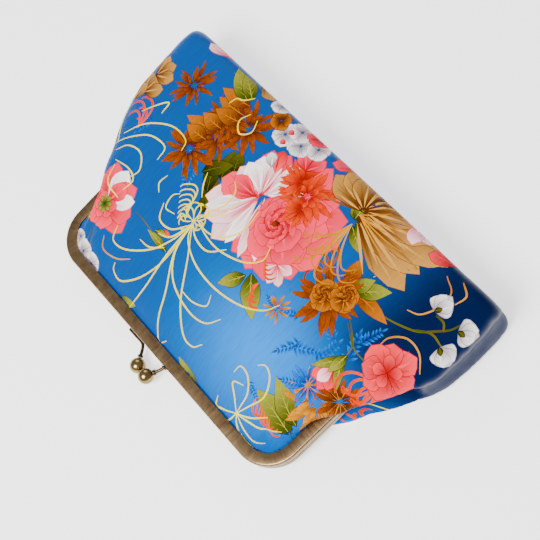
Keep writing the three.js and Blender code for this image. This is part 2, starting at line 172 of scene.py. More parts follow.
# down, reach, crest, roll, box, belly: sections of the front, as in the part's source.
SECTION_KEYS = ("down", "reach", "crest", "roll", "box", "belly")
FRONT_SECTIONS = np.array([
    (0.062, -0.12, 0.16, 0.45, 2.0, 0.50),
    (0.083, -0.12, 0.27, 0.60, 2.0, 0.50),
    (0.115, -0.10, 0.40, 0.80, 2.0, 0.50),
    (0.160, -0.09, 0.52, 1.00, 2.0, 0.50),
    (0.230, 0.00, 0.65, 1.20, 2.1, 0.55),
    (0.290, 0.10, 0.74, 1.35, 2.1, 0.58),
    (0.360, 0.30, 0.82, 1.55, 2.1, 0.55),
    (0.420, 0.43, 0.88, 1.75, 2.1, 0.52),
    (0.500, 0.65, 0.95, 1.85, 2.1, 0.46),
    (0.570, 0.80, 1.00, 1.90, 2.1, 0.40),
    (0.670, 0.96, 1.05, 1.85, 2.1, 0.32),
    (0.770, 1.00, 1.06, 1.70, 2.2, 0.30),
    (0.860, 1.00, 1.03, 1.40, 2.4, 0.32),
    (0.930, 0.985, 0.98, 1.05, 2.7, 0.36),
    (0.952, 0.97, 0.96, 0.95, 2.8, 0.38),
])

# across, down, long, wide, deep, lean: folds of the front, as in the part's source.
FRONT_FOLDS = (
    (-0.66, 0.10, 0.15, 0.022, 0.09, 62.0),
    (0.645, 0.15, 0.12, 0.025, 0.07, -66.0),
    (-0.60, 0.27, 0.20, 0.050, 0.07, 70.0),
    (0.58, 0.33, 0.22, 0.055, 0.06, -68.0),
    (0.12, 0.95, 0.13, 0.060, 0.05, 4.0),
    (-0.77, 0.93, 0.07, 0.050, 0.09, 12.0),
    (-0.74, 0.80, 0.25, 0.070, 0.08, 80.0),
    (0.30, 0.72, 0.35, 0.120, 0.035, -50.0),
    (-0.28, 0.55, 0.40, 0.120, 0.03, 62.0),
)


class BagFrame:
    """The bag's own frame, and how it lies in the row's."""

    def __init__(self, frame: FrameSizes, bag: BagSizes, bar_edge: float) -> None:
        """Args:
        frame: sizes of the snap frame.
        bag: sizes of the bag.
        bar_edge: the highest y of the frame's front half in the row's frame, in millimetres.
        """
        self.tipping = bag.tipping
        self.rest_height = bag.rest_height
        far = frame.halves_gap / 2 + 2 * (frame.metal + frame.fit) + bag.cloth - frame.edge_rounding
        self.shift = bar_edge - far * math.sin(self.tipping)

    def place(self, across: np.ndarray, down: np.ndarray, height: np.ndarray) -> np.ndarray:
        """Points of the bag's frame in the row's frame.

        Args:
            across: distances from the middle.
            down: distances from the bar's outer edge.
            height: heights over the middle plane.

        Returns:
            The points, with a last axis of three.
        """
        c, s = math.cos(self.tipping), math.sin(self.tipping)
        y = self.shift - np.asarray(down) * c + np.asarray(height) * s
        z = self.rest_height + np.asarray(down) * s + np.asarray(height) * c
        across, y, z = np.broadcast_arrays(across, y, z)
        return np.stack([across, y, z], axis=-1)

    def turn(self, vector: Sequence[float]) -> Vector:
        """A direction (across, towards the bar, out of the front) in the row's frame."""
        c, s = math.cos(self.tipping), math.sin(self.tipping)
        x, y, z = vector
        return Vector((x, y * c + z * s, -y * s + z * c))


@dataclass
class PanelTable:
    """A panel's outer surface as a table of points: rows run down, and columns are even steps across."""

    points: np.ndarray
    half_lengths: np.ndarray
    along: np.ndarray
    outward: int
    normals: np.ndarray = field(init=False)

    def __post_init__(self) -> None:
        """Works out the normals."""
        self.renew()

    def renew(self) -> None:
        """Works the normals out again after the points have moved."""
        across = np.gradient(self.points, axis=1)
        down = np.gradient(self.points, axis=0)
        normal = np.cross(down, across) * self.outward
        self.normals = normal / np.maximum(np.linalg.norm(normal, axis=-1, keepdims=True), 1e-9)

    def spot(self, u: np.ndarray, v: np.ndarray) -> tuple[np.ndarray, ...]:
        """Where flat places lie in the table.

        Args:
            u: distances across the cloth from its middle.
            v: distances down the cloth from the bar's outer edge.

        Returns:
            Lower row, lower column, and the shares past them.
        """
        rows, columns = self.points.shape[:2]
        row = np.interp(v, self.along, np.arange(rows))
        half = np.interp(v, self.along, self.half_lengths)
        column = np.clip(u / half, -1.0, 1.0) * (columns - 1) / 2 + (columns - 1) / 2
        r0 = np.clip(np.floor(row).astype(int), 0, rows - 2)
        c0 = np.clip(np.floor(column).astype(int), 0, columns - 2)
        return r0, c0, row - r0, column - c0

    def blend(self, table: np.ndarray, u: np.ndarray, v: np.ndarray) -> np.ndarray:
        """A table's values at flat places, between its rows and columns."""
        r, c, a, b = self.spot(u, v)
        a, b = a[:, None], b[:, None]
        top = table[r, c] * (1 - b) + table[r, c + 1] * b
        low = table[r + 1, c] * (1 - b) + table[r + 1, c + 1] * b
        return top * (1 - a) + low * a


class PanelForm:
    """The form of one panel, on the same sections as the part's source, with the cloth's own small relief."""

    columns = 341
    down_step = 1.0

    def __init__(self, face: Face, frame: FrameSizes, bag: BagSizes, place: BagFrame) -> None:
        """Keeps the sizes that the panel is made from."""
        self.face, self.frame, self.bag, self.place = face, frame, bag, place
        self.half_width = bag.width / 2
        self.crest_unit = bag.base_depth / 2
        self.slot_middle = frame.halves_gap / 2 + frame.metal + frame.fit + bag.cloth / 2
        self.slot_edge = frame.metal + frame.fit
        self.lip = frame.band + frame.fit + bag.cloth / 2 + 0.05
        self.riser = frame.metal + 2 * frame.fit + bag.cloth
        self.turn_down = bag.height - bag.base_rounding

    def section_at(self, share: float) -> dict[str, float]:
        """The table of sections at a share of the height, on smooth curves."""
        rows = FRONT_SECTIONS
        last = len(rows) - 1
        at = min(max(share, rows[0, 0]), rows[last, 0])
        i = min(int(np.searchsorted(rows[1:, 0], at, side="left")), last - 1)
        step = rows[i + 1, 0] - rows[i, 0]
        t = (at - rows[i, 0]) / step

        def slope(k: int) -> np.ndarray:
            """The curve's slope at a row."""
            a, b = rows[max(k - 1, 0)], rows[min(k + 1, last)]
            return (b - a) / (b[0] - a[0])

        value = (
            rows[i] * (2 * t**3 - 3 * t**2 + 1)
            + slope(i) * step * (t**3 - 2 * t**2 + t)
            + rows[i + 1] * (3 * t**2 - 2 * t**3)
            + slope(i + 1) * step * (t**3 - t**2)
        )
        return dict(zip(SECTION_KEYS, value))

    def half_section(self, down: float) -> tuple[np.ndarray, np.ndarray, np.ndarray]:
        """Half a section: the source's steps, the distances from the middle and the heights."""
        bag, frame = self.bag, self.frame
        front = self.face is Face.FRONT
        s = self.section_at(down / bag.height)
        edge = frame.arm_at(down) - self.lip
        wide = edge + s["reach"] * (self.half_width - edge)
        surface = bag.rest_height / math.cos(bag.tipping) + down * math.tan(bag.tipping)
        drop = min(surface * bag.floor_press, self.slot_middle + (down - self.lip) * bag.back_drop)
        crest = s["crest"] * self.crest_unit if front else max(drop, self.slot_middle)
        belly = self.slot_middle + (crest - self.slot_middle) * (s["belly"] if front else bag.back_belly)
        leaves = frame.channel_end - frame.fit
        flange = float(mix(self.lip - self.slot_edge, bag.bare_edge, smooth(down, leaves - 3, leaves)))
        over = self.slot_middle + min(self.riser, (belly - self.slot_middle) / 2)
        roll = s["roll"] * self.crest_unit * (1 if front else bag.back_roll)
        power = 2 / (s["box"] if front else bag.back_box)
        meet = frame.hinge_down + bag.sides_meet_below
        apart = float(smooth(down, meet, meet + bag.sides_meet_over))

        low = np.concatenate([[0, 1, 2], np.linspace(2, 3, 4)[1:], np.linspace(3, 7, 15)[1:]])
        t = np.clip((low - 3) / 4, 0, 1)
        across = np.where(low <= 3, edge + flange * np.clip(1 - low / 2, 0, None), cubic(
            edge, mix(edge, wide, 0.15), wide, wide, t))
        height = np.where(low <= 2, self.slot_middle, np.where(
            low <= 3, mix(self.slot_middle, over, low - 2),
            cubic(over, mix(over, belly, 0.35), mix(over, belly, 0.5), belly, t)))
        seam, u = wide - bag.seam_inset, low / 7
        across = mix(across, cubic(seam, seam, wide, wide, u), apart)
        height = mix(height, mix(frame.halves_gap / 2, belly, u), apart)
        angle = np.linspace(0, math.pi / 2, 25)[1:]
        round_across = wide - roll * (1 - np.clip(np.cos(angle), 0, 1) ** power)
        round_height = belly + (crest - belly) * np.sin(angle) ** power
        flat = np.linspace(0, 1, 21)[1:]
        return (
            np.concatenate([low, 7 + 5 * angle * 2 / math.pi, 12 + 5 * flat]),
            np.concatenate([across, round_across, (wide - roll) * (1 - flat)]),
            np.concatenate([height, round_height, np.full(20, crest)]),
        )

    def round_corner(self, across: np.ndarray, down: np.ndarray) -> tuple[np.ndarray, np.ndarray]:
        """Rounds points near the frame's corner, as the frame is rounded."""
        radius = self.frame.corner_radius
        a = self.frame.arm_at(float(np.max(down))) - across
        b = down
        near = (a < radius) & (b < radius)
        ring = np.maximum(radius - np.minimum(a, b), 1e-6)
        turn = np.where(b <= a, (radius - a) / ring, 2 - (radius - b) / ring)
        angle = turn * math.pi / 4
        x = self.frame.width / 2 - radius + ring * np.sin(angle)
        y = radius - ring * np.cos(angle)
        return np.where(near, x, across), np.where(near, y, down)

    def folds(self, across: np.ndarray, down: np.ndarray) -> np.ndarray:
        """How deep the source's folds lie."""
        depth = np.zeros_like(across)
        for at_x, at_y, long, wide, deep, lean in FRONT_FOLDS:
            dx, dy = across - at_x * self.half_width, down - at_y * self.bag.height
            c, s = math.cos(math.radians(lean)), math.sin(math.radians(lean))
            along = (dx * c - dy * s) / (long * self.half_width)
            aside = (dx * s + dy * c) / (wide * self.half_width)
            depth += deep * self.crest_unit * np.exp(-(along**2) - aside**2)
        return depth

    def row(self, down: float, drop: float, tuck: float, inward: float) -> np.ndarray:
        """One row of the middle surface, from left to right, as points in the row's frame."""
        bag = self.bag
        base = self.frame.halves_gap / 2
        step, across, height = self.half_section(max(down, self.lip))
        if down <= self.lip:
            height = np.full_like(height, self.slot_middle)
        sides = []
        for side in (-1, 1):
            x, y = self.round_corner(across, np.full_like(across, down))
            z = height
            if self.face is Face.FRONT and down > self.lip:
                clear = smooth(z, self.slot_middle * 1.6, self.slot_middle * 3)
                z = z - self.folds(side * x, y) * clear
            z = z - bag.base_rounding * tuck * smooth(z, 0, bag.base_rounding * 2)
            z = mix(np.maximum(z, base), base, inward)
            x = x * (1 - tuck * bag.base_rounding * bag.corner_draw / self.half_width)
            seam_end = (17 - step) / 17 * self.half_width * (1 - bag.base_end_share)
            x = mix(x, seam_end, inward)
            points = self.place.place(side * x, y + drop, self.face.value * z)
            points[:, 2] = np.maximum(points[:, 2], bag.cloth / 2)
            sides.append(points)
        return np.concatenate([sides[0], sides[1][::-1][1:]])

    def table(self) -> PanelTable:
        """The panel's middle surface, evened out across, as a table."""
        settings = [(d, 0.0, 0.0, 0.0) for d in np.linspace(self.slot_edge, self.lip, 6)]
        settings += [(d, 0.0, 0.0, 0.0) for d in np.arange(self.lip + 0.35, self.turn_down, self.down_step)]
        for angle in np.linspace(0, math.pi / 2, 9):
            settings.append((self.turn_down, self.bag.base_rounding * math.sin(angle), 1 - math.cos(angle),
                0.0))
        settings += [(self.turn_down, self.bag.base_rounding, 1.0, i) for i in np.linspace(0, 1, 15)[1:]]
        rows, halves = [], []
        for setting in settings:
            line = self.row(*setting)
            long = np.concatenate([[0], np.cumsum(np.linalg.norm(np.diff(line, axis=0), axis=1))])
            even = np.linspace(0, long[-1], self.columns)
            rows.append(np.stack([np.interp(even, long, line[:, k]) for k in range(3)], axis=1))
            halves.append(long[-1] / 2)
        points = np.array(rows)
        middle = points[:, self.columns // 2]
        along = self.slot_edge + np.concatenate([[0],
            np.cumsum(np.linalg.norm(np.diff(middle, axis=0), axis=1))])
        return PanelTable(points, np.array(halves), along, self.face.value)


def linear(red: float, green: float, blue: float) -> tuple[float, float, float, float]:
    """A colour as it looks on a screen, 0 to 255, as the linear one that a shader takes."""

    def one(value: float) -> float:
        """One channel."""
        share = value / 255
        return share / 12.92 if share <= 0.04045 else ((share + 0.055) / 1.055) ** 2.4

    return (one(red), one(green), one(blue), 1.0)


def seen(red: float, green: float, blue: float) -> tuple[float, float, float, float]:
    """A colour as it looks in the bright soft light, as the deeper and purer one that shows so there."""
    tone = linear(red, green, blue)[:3]
    top = max(*tone, 1e-6)
    gain = top * (0.45 + 0.7 * top**2)
    return (*(min(gain * (channel / top) ** 1.8, 0.98) for channel in tone), 1.0)


def finished(bm: bmesh.types.BMesh, name: str, material: Material, sharp: float | None = 35.0) -> Object:
    """Turns a bmesh into a piece that rides on the clutch.

    Args:
        bm: the mesh, in millimetres.
        name: the piece's name.
        material: its finish.
        sharp: edges over this many degrees stay sharp, or None for a smooth piece.

    Returns:
        The piece.
    """
    bmesh.ops.remove_doubles(bm, verts=bm.verts, dist=1e-4)
    bmesh.ops.recalc_face_normals(bm, faces=bm.faces)
    bmesh.ops.scale(bm, vec=(MM, MM, MM), verts=bm.verts)
    for face in bm.faces:
        face.smooth = True
    mesh = bpy.data.meshes.new(name)
    bm.to_mesh(mesh)
    bm.free()
    if sharp is not None:
        mesh.set_sharp_from_angle(angle=math.radians(sharp))
    mesh.materials.append(material)
    piece = bpy.data.objects.new(name, mesh)
    bpy.context.scene.collection.objects.link(piece)
    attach(piece, "root")
    log.info("%s: %d faces", name, len(mesh.polygons))
    return piece


def sweep(bm: bmesh.types.BMesh, loops: Sequence[Sequence[Vector]],
        lengths: Sequence[float] | None = None) -> None:
    """Extrudes a closed loop of vertices from place to place, and closes both ends.

    Args:
        bm: the mesh that it is added to.
        loops: the loop's points at each place.
        lengths: how far along each place is, to write a UV map with, or None.
    """
    uv = bm.loops.layers.uv.verify()
    first = [bm.verts.new(p) for p in loops[0]]
    edges = [bm.edges.new((first[i], first[(i + 1) % len(first)])) for i in range(len(first))]
    around = np.concatenate([[0], np.cumsum([(loops[0][(i + 1) % len(first)] - p).length
                                             for i, p in enumerate(loops[0])])])
    bmesh.ops.contextual_create(bm, geom=edges)
    ring = first
    for k, places in enumerate(loops[1:]):
        made = bmesh.ops.extrude_edge_only(bm, edges=edges)["geom"]
        new = {v for v in made if isinstance(v, bmesh.types.BMVert)}
        following = []
        for old in ring:
            following.append(next(e.other_vert(old) for e in old.link_edges if e.other_vert(old) in new))
        for vert, place in zip(following, places):
            vert.co = place
        spots = {v: (k, i) for i, v in enumerate(ring)} | {v: (k + 1, i) for i, v in enumerate(following)}
        for face in (f for f in made if isinstance(f, bmesh.types.BMFace)):
            ids = [spots[loop.vert][1] for loop in face.loops]
            wraps = max(ids) - min(ids) > 1
            for loop in face.loops:
                at, i = spots[loop.vert]
                long = lengths[at] if lengths else float(at)
                loop[uv].uv = (long * MM * 10, around[len(first) if wraps and i == 0 else i] * MM * 10)
        edges = [bm.edges.get((following[i], following[(i + 1) % len(following)]))
            for i in range(len(following))]
        ring = following
    bmesh.ops.contextual_create(bm, geom=edges)


def ring_about(centre: Vector, axis: Vector, radius: float, sides: int) -> list[Vector]:
    """A circle of points about an axis."""
    turn = axis.to_track_quat("Z", "Y")
    return [
        centre + turn @ Vector((radius * math.cos(a), radius * math.sin(a), 0))
        for a in (2 * math.pi * i / sides for i in range(sides))
    ]


def smooth_path(points: Sequence[Vector], steps: int) -> list[Vector]:
    """A smooth curve through points.

    Args:
        points: the points that it passes through.
        steps: places between each two of them.

    Returns:
        The places along the curve.
    """
    ends = [2 * points[0] - points[1], *points, 2 * points[-1] - points[-2]]
    path = []
    for a, b, c, d in zip(ends, ends[1:], ends[2:], ends[3:]):
        for i in range(steps):
            t = i / steps
            path.append(0.5 * (2 * b + (c - a) * t + (2 * a - 5 * b + 4 * c - d) * t**2
                               + (3 * b - a - 3 * c + d) * t**3))
    return [*path, points[-1].copy()]


@dataclass
class SnapFrame:
    """The two channels of the snap frame with their lugs and rivets."""

    sizes: FrameSizes
    bag: BagSizes
    place: BagFrame
    corner_steps: int = 20
    edge_steps: int = 6

    def profile(self) -> list[Point]:
        """The channel's section: distances in from the outer edge and heights over the middle plane."""
        s = self.sizes
        near = s.halves_gap / 2
        far = near + 2 * (s.metal + s.fit) + self.bag.cloth
        quarter = [math.pi / 2 * i / self.edge_steps for i in range(self.edge_steps + 1)]
        rounding = [(s.edge_rounding * (1 - math.cos(a)), far - s.edge_rounding * (1 - math.sin(a)))
            for a in quarter]
        back = [(0.35 * (1 - math.cos(a)), near + 0.35 * (1 - math.sin(a))) for a in reversed(quarter[::2])]
        return [
            *back, *rounding, (s.band - 0.25, far), (s.band - 0.07, far - 0.07), (s.band, far - 0.25),
            (s.band, far - s.metal), (s.metal, far - s.metal), (s.metal, near + s.metal),
            (s.band, near + s.metal), (s.band, near),
        ]

    def outline(self, inside: float) -> list[Point]:
        """The frame's line at a distance in from its outer edge, from the right arm's end to the left's."""
        s = self.sizes
        middle, ring = s.width / 2 - s.corner_radius, s.corner_radius - inside
        arm = [(s.arm_at(d) - inside, d) for d in np.linspace(s.channel_end, s.corner_radius, 12)[:-1]]
        turns = [math.pi / 2 * i / self.corner_steps for i in range(self.corner_steps + 1)]
        corner = [(middle + ring * math.cos(a), s.corner_radius - ring * math.sin(a)) for a in turns]
        bar = [(x, inside) for x in np.linspace(middle, 0, 12)[1:]]
        half = [*arm, *corner, *bar]
        return half + [(-x, y) for x, y in reversed(half[:-1])]

    def half(self, face: Face, material: Material) -> Object:
        """One half of the frame.

        Args:
            face: which half.
            material: its finish.

        Returns:
            The piece.
        """
        profile = self.profile()
        lines = [self.outline(inside) for inside, _ in profile]
        loops = []
        for i in range(len(lines[0])):
            loops.append([
                Vector(self.place.place(line[i][0], line[i][1], face.value * height))
                for line, (_, height) in zip(lines, profile)
            ])
        lengths = [0.0]
        for a, b in zip(lines[0], lines[0][1:]):
            lengths.append(lengths[-1] + math.dist(a, b))
        bm = bmesh.new()
        sweep(bm, loops, lengths)
        for side in (-1, 1):
            self.lug(bm, face, side)
        piece = finished(bm, f"frame_half_{face.word}", material)
        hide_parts(f"frame_{face.word}")
        return piece

    def lug(self, bm: bmesh.types.BMesh, face: Face, side: int) -> None:
        """Adds the lug at the end of an arm, with the foot that joins it to the channel."""
        s = self.sizes
        outer = s.arm_at(s.hinge_down) - (0.0 if face is Face.FRONT else s.lug_thickness + s.fit)
        near = s.halves_gap / 2 + s.metal / 2
        far = s.halves_gap / 2 + 2 * (s.metal + s.fit) + self.bag.cloth - s.metal / 2
        top = s.channel_end - 2.5
        end = [
            (s.hinge_down + s.lug_radius * math.cos(a), s.lug_radius * math.sin(a))
            for a in np.linspace(-math.radians(120), math.radians(90), 22)
        ]
        outline = [(top, near), (s.channel_end + s.fit, near), *end, (top, far)]
        loops = [
            [Vector(self.place.place(side * across, down, face.value * height)) for down, height in outline]
            for across in (outer - s.lug_thickness, outer)
        ]
        sweep(bm, loops)
        width = s.lug_thickness * 2 + s.fit
        middle = s.arm_at(s.channel_end) - width / 2 - s.metal / 2
        corners = [(top, near), (s.channel_end, near), (s.channel_end, far), (top, far)]
        loops = [
            [Vector(self.place.place(side * across, down, face.value * height)) for down, height in corners]
            for across in (middle - width / 2, middle + width / 2)
        ]
        sweep(bm, loops)

    def rivet(self, side: int, material: Material) -> Object:
        """The rivet through the lugs of one side, with a domed head at each end."""
        s = self.sizes
        half = s.lug_thickness + s.fit / 2
        inside = half + s.fit
        end, head = inside + s.rivet_head, s.rivet_radius + s.rivet_head + s.fit
        dome = [(head * math.cos(a), inside + (end - inside) * (0.4 + 0.6 * math.sin(a)))
                for a in np.linspace(0, math.pi / 2, 7)[:-1]]
        points = [(s.rivet_radius, 0.0), (s.rivet_radius, inside), (head, inside), *dome]
        points = [(r, -y) for r, y in reversed(points[1:])] + points
        centre = Vector((side * (s.arm_at(s.hinge_down) - s.lug_thickness - s.fit / 2), s.hinge_down, 0.0))
        bm = bmesh.new()
        loops = [
            [Vector(self.place.place(centre.x + y, centre.y + p.x, p.y)) for p in ring_about(
                Vector((0, 0, 0)), Vector((0, 0, 1)), r, 24)]
            for r, y in points
        ]
        sweep(bm, loops)
        word = "left" if side < 0 else "right"
        piece = finished(bm, f"rivet_{word}", material)
        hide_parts(f"hinge_rivet_{word}")
        return piece


@dataclass
class Clasp:
    """The two balls and the stems that carry them."""

    sizes: FrameSizes
    place: BagFrame

    def centre(self, face: Face) -> Vector:
        """A ball's centre: across, down and height."""
        s = self.sizes
        return Vector((s.balls_offset - face.value * s.balls_apart / 2, -s.balls_rise,
                       face.value * s.balls_stagger / 2))

    def set_down(self, points: Sequence[Vector]) -> list[Vector]:
        """Points of the bag's frame in the row's frame."""
        return [Vector(self.place.place(p.x, p.y, p.z)) for p in points]

    def ball(self, face: Face, material: Material) -> Object:
        """One ball."""
        bm = bmesh.new()
        bmesh.ops.create_uvsphere(bm, u_segments=56, v_segments=36, radius=self.sizes.ball_diameter / 2)
        bmesh.ops.translate(bm, vec=self.set_down([self.centre(face)])[0], verts=bm.verts)
        piece = finished(bm, f"ball_{face.word}", material, None)
        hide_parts(f"clasp_ball_{face.word}")
        return piece

    def stem(self, face: Face, material: Material) -> Object:
        """One stem: a foot on the bar, a bent rod and the collar under the ball."""
        s = self.sizes
        ball = self.centre(face)
        seat = -(s.fit + s.stem_radius)
        root = Vector((s.front_foot_at if face is Face.FRONT else s.back_foot_at, seat,
                       face.value * s.stem_set_back))
        lean = (ball - root).normalized()
        top = ball - lean * (s.ball_diameter / 2 + s.fit)
        under = top - lean * s.collar_length
        bm = bmesh.new()
        if face is Face.FRONT:
            pad = Vector((root.x, -s.fit, root.z))
            raised = pad - Vector((0, s.pad_height, 0))
            steps = [(pad, s.pad_radius), (raised + Vector((0, 0.15, 0)), s.pad_radius),
                     (raised, s.pad_radius - 0.2)]
            self.disc(bm, steps, Vector((0, -1, 0)))
            route = [pad, root.lerp(under, 0.5), under.lerp(top, 0.5)]
        else:
            end = root + Vector((s.back_foot, 0, 0))
            bend = root + Vector((s.stem_radius * 1.5, 0, 0))
            route = [end, end.lerp(bend, 0.5), bend, root.lerp(under, 0.4), under.lerp(top, 0.5)]
        path = smooth_path(route, 12)
        loops = []
        for i, point in enumerate(path):
            axis = (path[min(i + 1, len(path) - 1)] - path[max(i - 1, 0)]).normalized()
            loops.append(self.set_down(ring_about(point, axis, s.stem_radius, 20)))
        lengths = [i * s.stem_radius for i in range(len(path))]
        sweep(bm, loops, lengths)
        rim = 0.2
        collar = [(under, s.collar_radius - rim), (under + lean * rim, s.collar_radius),
                  (top - lean * rim, s.collar_radius), (top, s.collar_radius - rim)]
        self.disc(bm, collar, lean)
        piece = finished(bm, f"stem_{face.word}", material)
        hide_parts(f"clasp_stem_{face.word}")
        return piece

    def disc(self, bm: bmesh.types.BMesh, steps: Sequence[tuple[Vector, float]], axis: Vector) -> None:
        """Adds a short turned disc through centres of given radii."""
        sweep(bm, [self.set_down(ring_about(centre, axis, radius, 32)) for centre, radius in steps])


class Tree:
    """A short way of writing a node tree."""

    def __init__(self, tree: NodeTree) -> None:
        """Keeps the tree."""
        self.tree = tree

    def node(self, kind: str, inputs: dict[str | int, object] | None = None, **settings: object) -> Node:
        """Adds a node.

        Args:
            kind: its type's name after ShaderNode.
            inputs: values or sockets for its inputs, by name or number.
            settings: its own settings.

        Returns:
            The node.
        """
        name = kind if kind.startswith(("NodeGroup", "ShaderNode")) else f"ShaderNode{kind}"
        node = self.tree.nodes.new(name)
        for key, value in settings.items():
            setattr(node, key, value)
        for key, value in (inputs or {}).items():
            if isinstance(value, NodeSocket):
                self.tree.links.new(value, node.inputs[key])
            else:
                node.inputs[key].default_value = value
        return node

    def math(self, operation: str, a: object, b: object = 0.5, c: object = 0.0) -> NodeSocket:
        """The result of a sum on two or three values or sockets."""
        return self.node("Math", {0: a, 1: b, 2: c}, operation=operation).outputs[0]

    def blend(self, share: object, a: object, b: object, kind: str = "MIX") -> NodeSocket:
        """A colour a share of the way from a to b."""
        node = self.node("Mix", {0: share, 6: a, 7: b}, data_type="RGBA", blend_type=kind)
        return node.outputs[2]

    def ramp(self, value: NodeSocket, low: float, high: float, to_low: float = 0.0,
            to_high: float = 1.0) -> NodeSocket:
        """A value's range mapped to another, smoothly."""
        node = self.node("MapRange", {0: value, 1: low, 2: high, 3: to_low, 4: to_high},
                         interpolation_type="SMOOTHSTEP")
        return node.outputs[0]


def group(name: str, inputs: Sequence[tuple[str, str, object]], outputs: Sequence[tuple[str, str]],
          fill: Callable[[Tree, dict[str, NodeSocket]], dict[str, NodeSocket]]) -> NodeTree:
    """Makes a shader node group.

    Args:
        name: its name.
        inputs: name, socket kind and default of each input.
        outputs: name and socket kind of each output.
        fill: adds the nodes, given the tree and the input sockets, and returns the output sockets.

    Returns:
        The group.
    """
    made = bpy.data.node_groups.new(name, "ShaderNodeTree")
    for label, kind, default in inputs:
        socket = made.interface.new_socket(label, in_out="INPUT", socket_type=f"NodeSocket{kind}")
        if default is not None:
            socket.default_value = default
    for label, kind in outputs:
        made.interface.new_socket(label, in_out="OUTPUT", socket_type=f"NodeSocket{kind}")
    start, end = made.nodes.new("NodeGroupInput"), made.nodes.new("NodeGroupOutput")
    results = fill(Tree(made), {socket.name: socket for socket in start.outputs if socket.name})
    for label, socket in results.items():
        made.links.new(socket, end.inputs[label])
    return made


class Effects:
    """The node groups that several finishes share."""

    def __init__(self) -> None:
        """Builds the groups."""
        self.brushing = group(
            "fine_brushing",
            [("Place", "Vector", None), ("Along", "Float", 90.0), ("Across", "Float", 4.0)],
            [("Streaks", "Float"), ("Broad", "Float")], self.fill_brushing)
        self.patina = group(
            "dark_patina",
            [("Place", "Vector", None), ("Scale", "Float", 260.0), ("Amount", "Float", 0.5)],
            [("Mask", "Float")], self.fill_patina)
        self.weave = group(
            "satin_weave",
            [("Place", "Vector", None), ("Threads", "Float", 3600.0), ("Slubs", "Float", 0.4)],
            [("Height", "Float"), ("Shade", "Float")], self.fill_weave)
        self.ripple = group(
            "cloth_ripple",
            [("Place", "Vector", None), ("Scale", "Float", 60.0)],
            [("Height", "Float")], self.fill_ripple)

    def fill_brushing(self, tree: Tree, given: dict[str, NodeSocket]) -> dict[str, NodeSocket]:
        """Fine streaks across a swept strip, from its own flat map."""
        parts = tree.node("SeparateXYZ", {0: given["Place"]})
        long = tree.math("MULTIPLY", parts.outputs[0], given["Along"])
        wide = tree.math("MULTIPLY", parts.outputs[1], given["Across"])
        spot = tree.node("CombineXYZ", {0: long, 1: wide, 2: parts.outputs[2]})
        fine = tree.node("TexNoise", {"Vector": spot.outputs[0], "Scale": 8.0, "Detail": 4.0,
            "Roughness": 0.7})
        broad = tree.node("TexNoise", {"Vector": spot.outputs[0], "Scale": 0.7, "Detail": 2.0})
        return {"Streaks": fine.outputs[0], "Broad": broad.outputs[0]}

    def fill_patina(self, tree: Tree, given: dict[str, NodeSocket]) -> dict[str, NodeSocket]:
        """Uneven dark tarnish."""
        noise = tree.node("TexNoise", {"Vector": given["Place"], "Scale": given["Scale"], "Detail": 5.0,
                                       "Roughness": 0.62, "Distortion": 0.3})
        sharp = tree.ramp(noise.outputs[0], 0.38, 0.68)
        return {"Mask": tree.math("MULTIPLY", sharp, given["Amount"])}

    def fill_weave(self, tree: Tree, given: dict[str, NodeSocket]) -> dict[str, NodeSocket]:
        """Warp threads that float over the weft, as in satin, with uneven slubs."""
        spot = tree.node("VectorMath", {0: given["Place"], 3: given["Threads"]}, operation="SCALE")
        parts = tree.node("SeparateXYZ", {0: spot.outputs[0]})
        warp = tree.math("SINE", tree.math("MULTIPLY", parts.outputs[0], 2 * math.pi))
        weft = tree.math("SINE", tree.math("MULTIPLY", parts.outputs[1], 0.4 * math.pi))
        slub_at = tree.node("CombineXYZ", {0: tree.math("MULTIPLY", parts.outputs[0], 0.4),
                                           1: tree.math("MULTIPLY", parts.outputs[1], 0.03)})
        slub = tree.node("TexNoise", {"Vector": slub_at.outputs[0], "Scale": 1.0, "Detail": 2.0})
        threads = tree.math("MULTIPLY_ADD", warp, 0.35, tree.math("MULTIPLY", weft, 0.15))
        uneven = tree.math("MULTIPLY", slub.outputs[0], given["Slubs"])
        return {"Height": tree.math("ADD", threads, uneven), "Shade": slub.outputs[0]}

    def fill_ripple(self, tree: Tree, given: dict[str, NodeSocket]) -> dict[str, NodeSocket]:
        """Soft unevenness of padding under cloth."""
        noise = tree.node("TexNoise", {"Vector": given["Place"], "Scale": given["Scale"], "Detail": 3.0,
                                       "Roughness": 0.45})
        return {"Height": noise.outputs[0]}


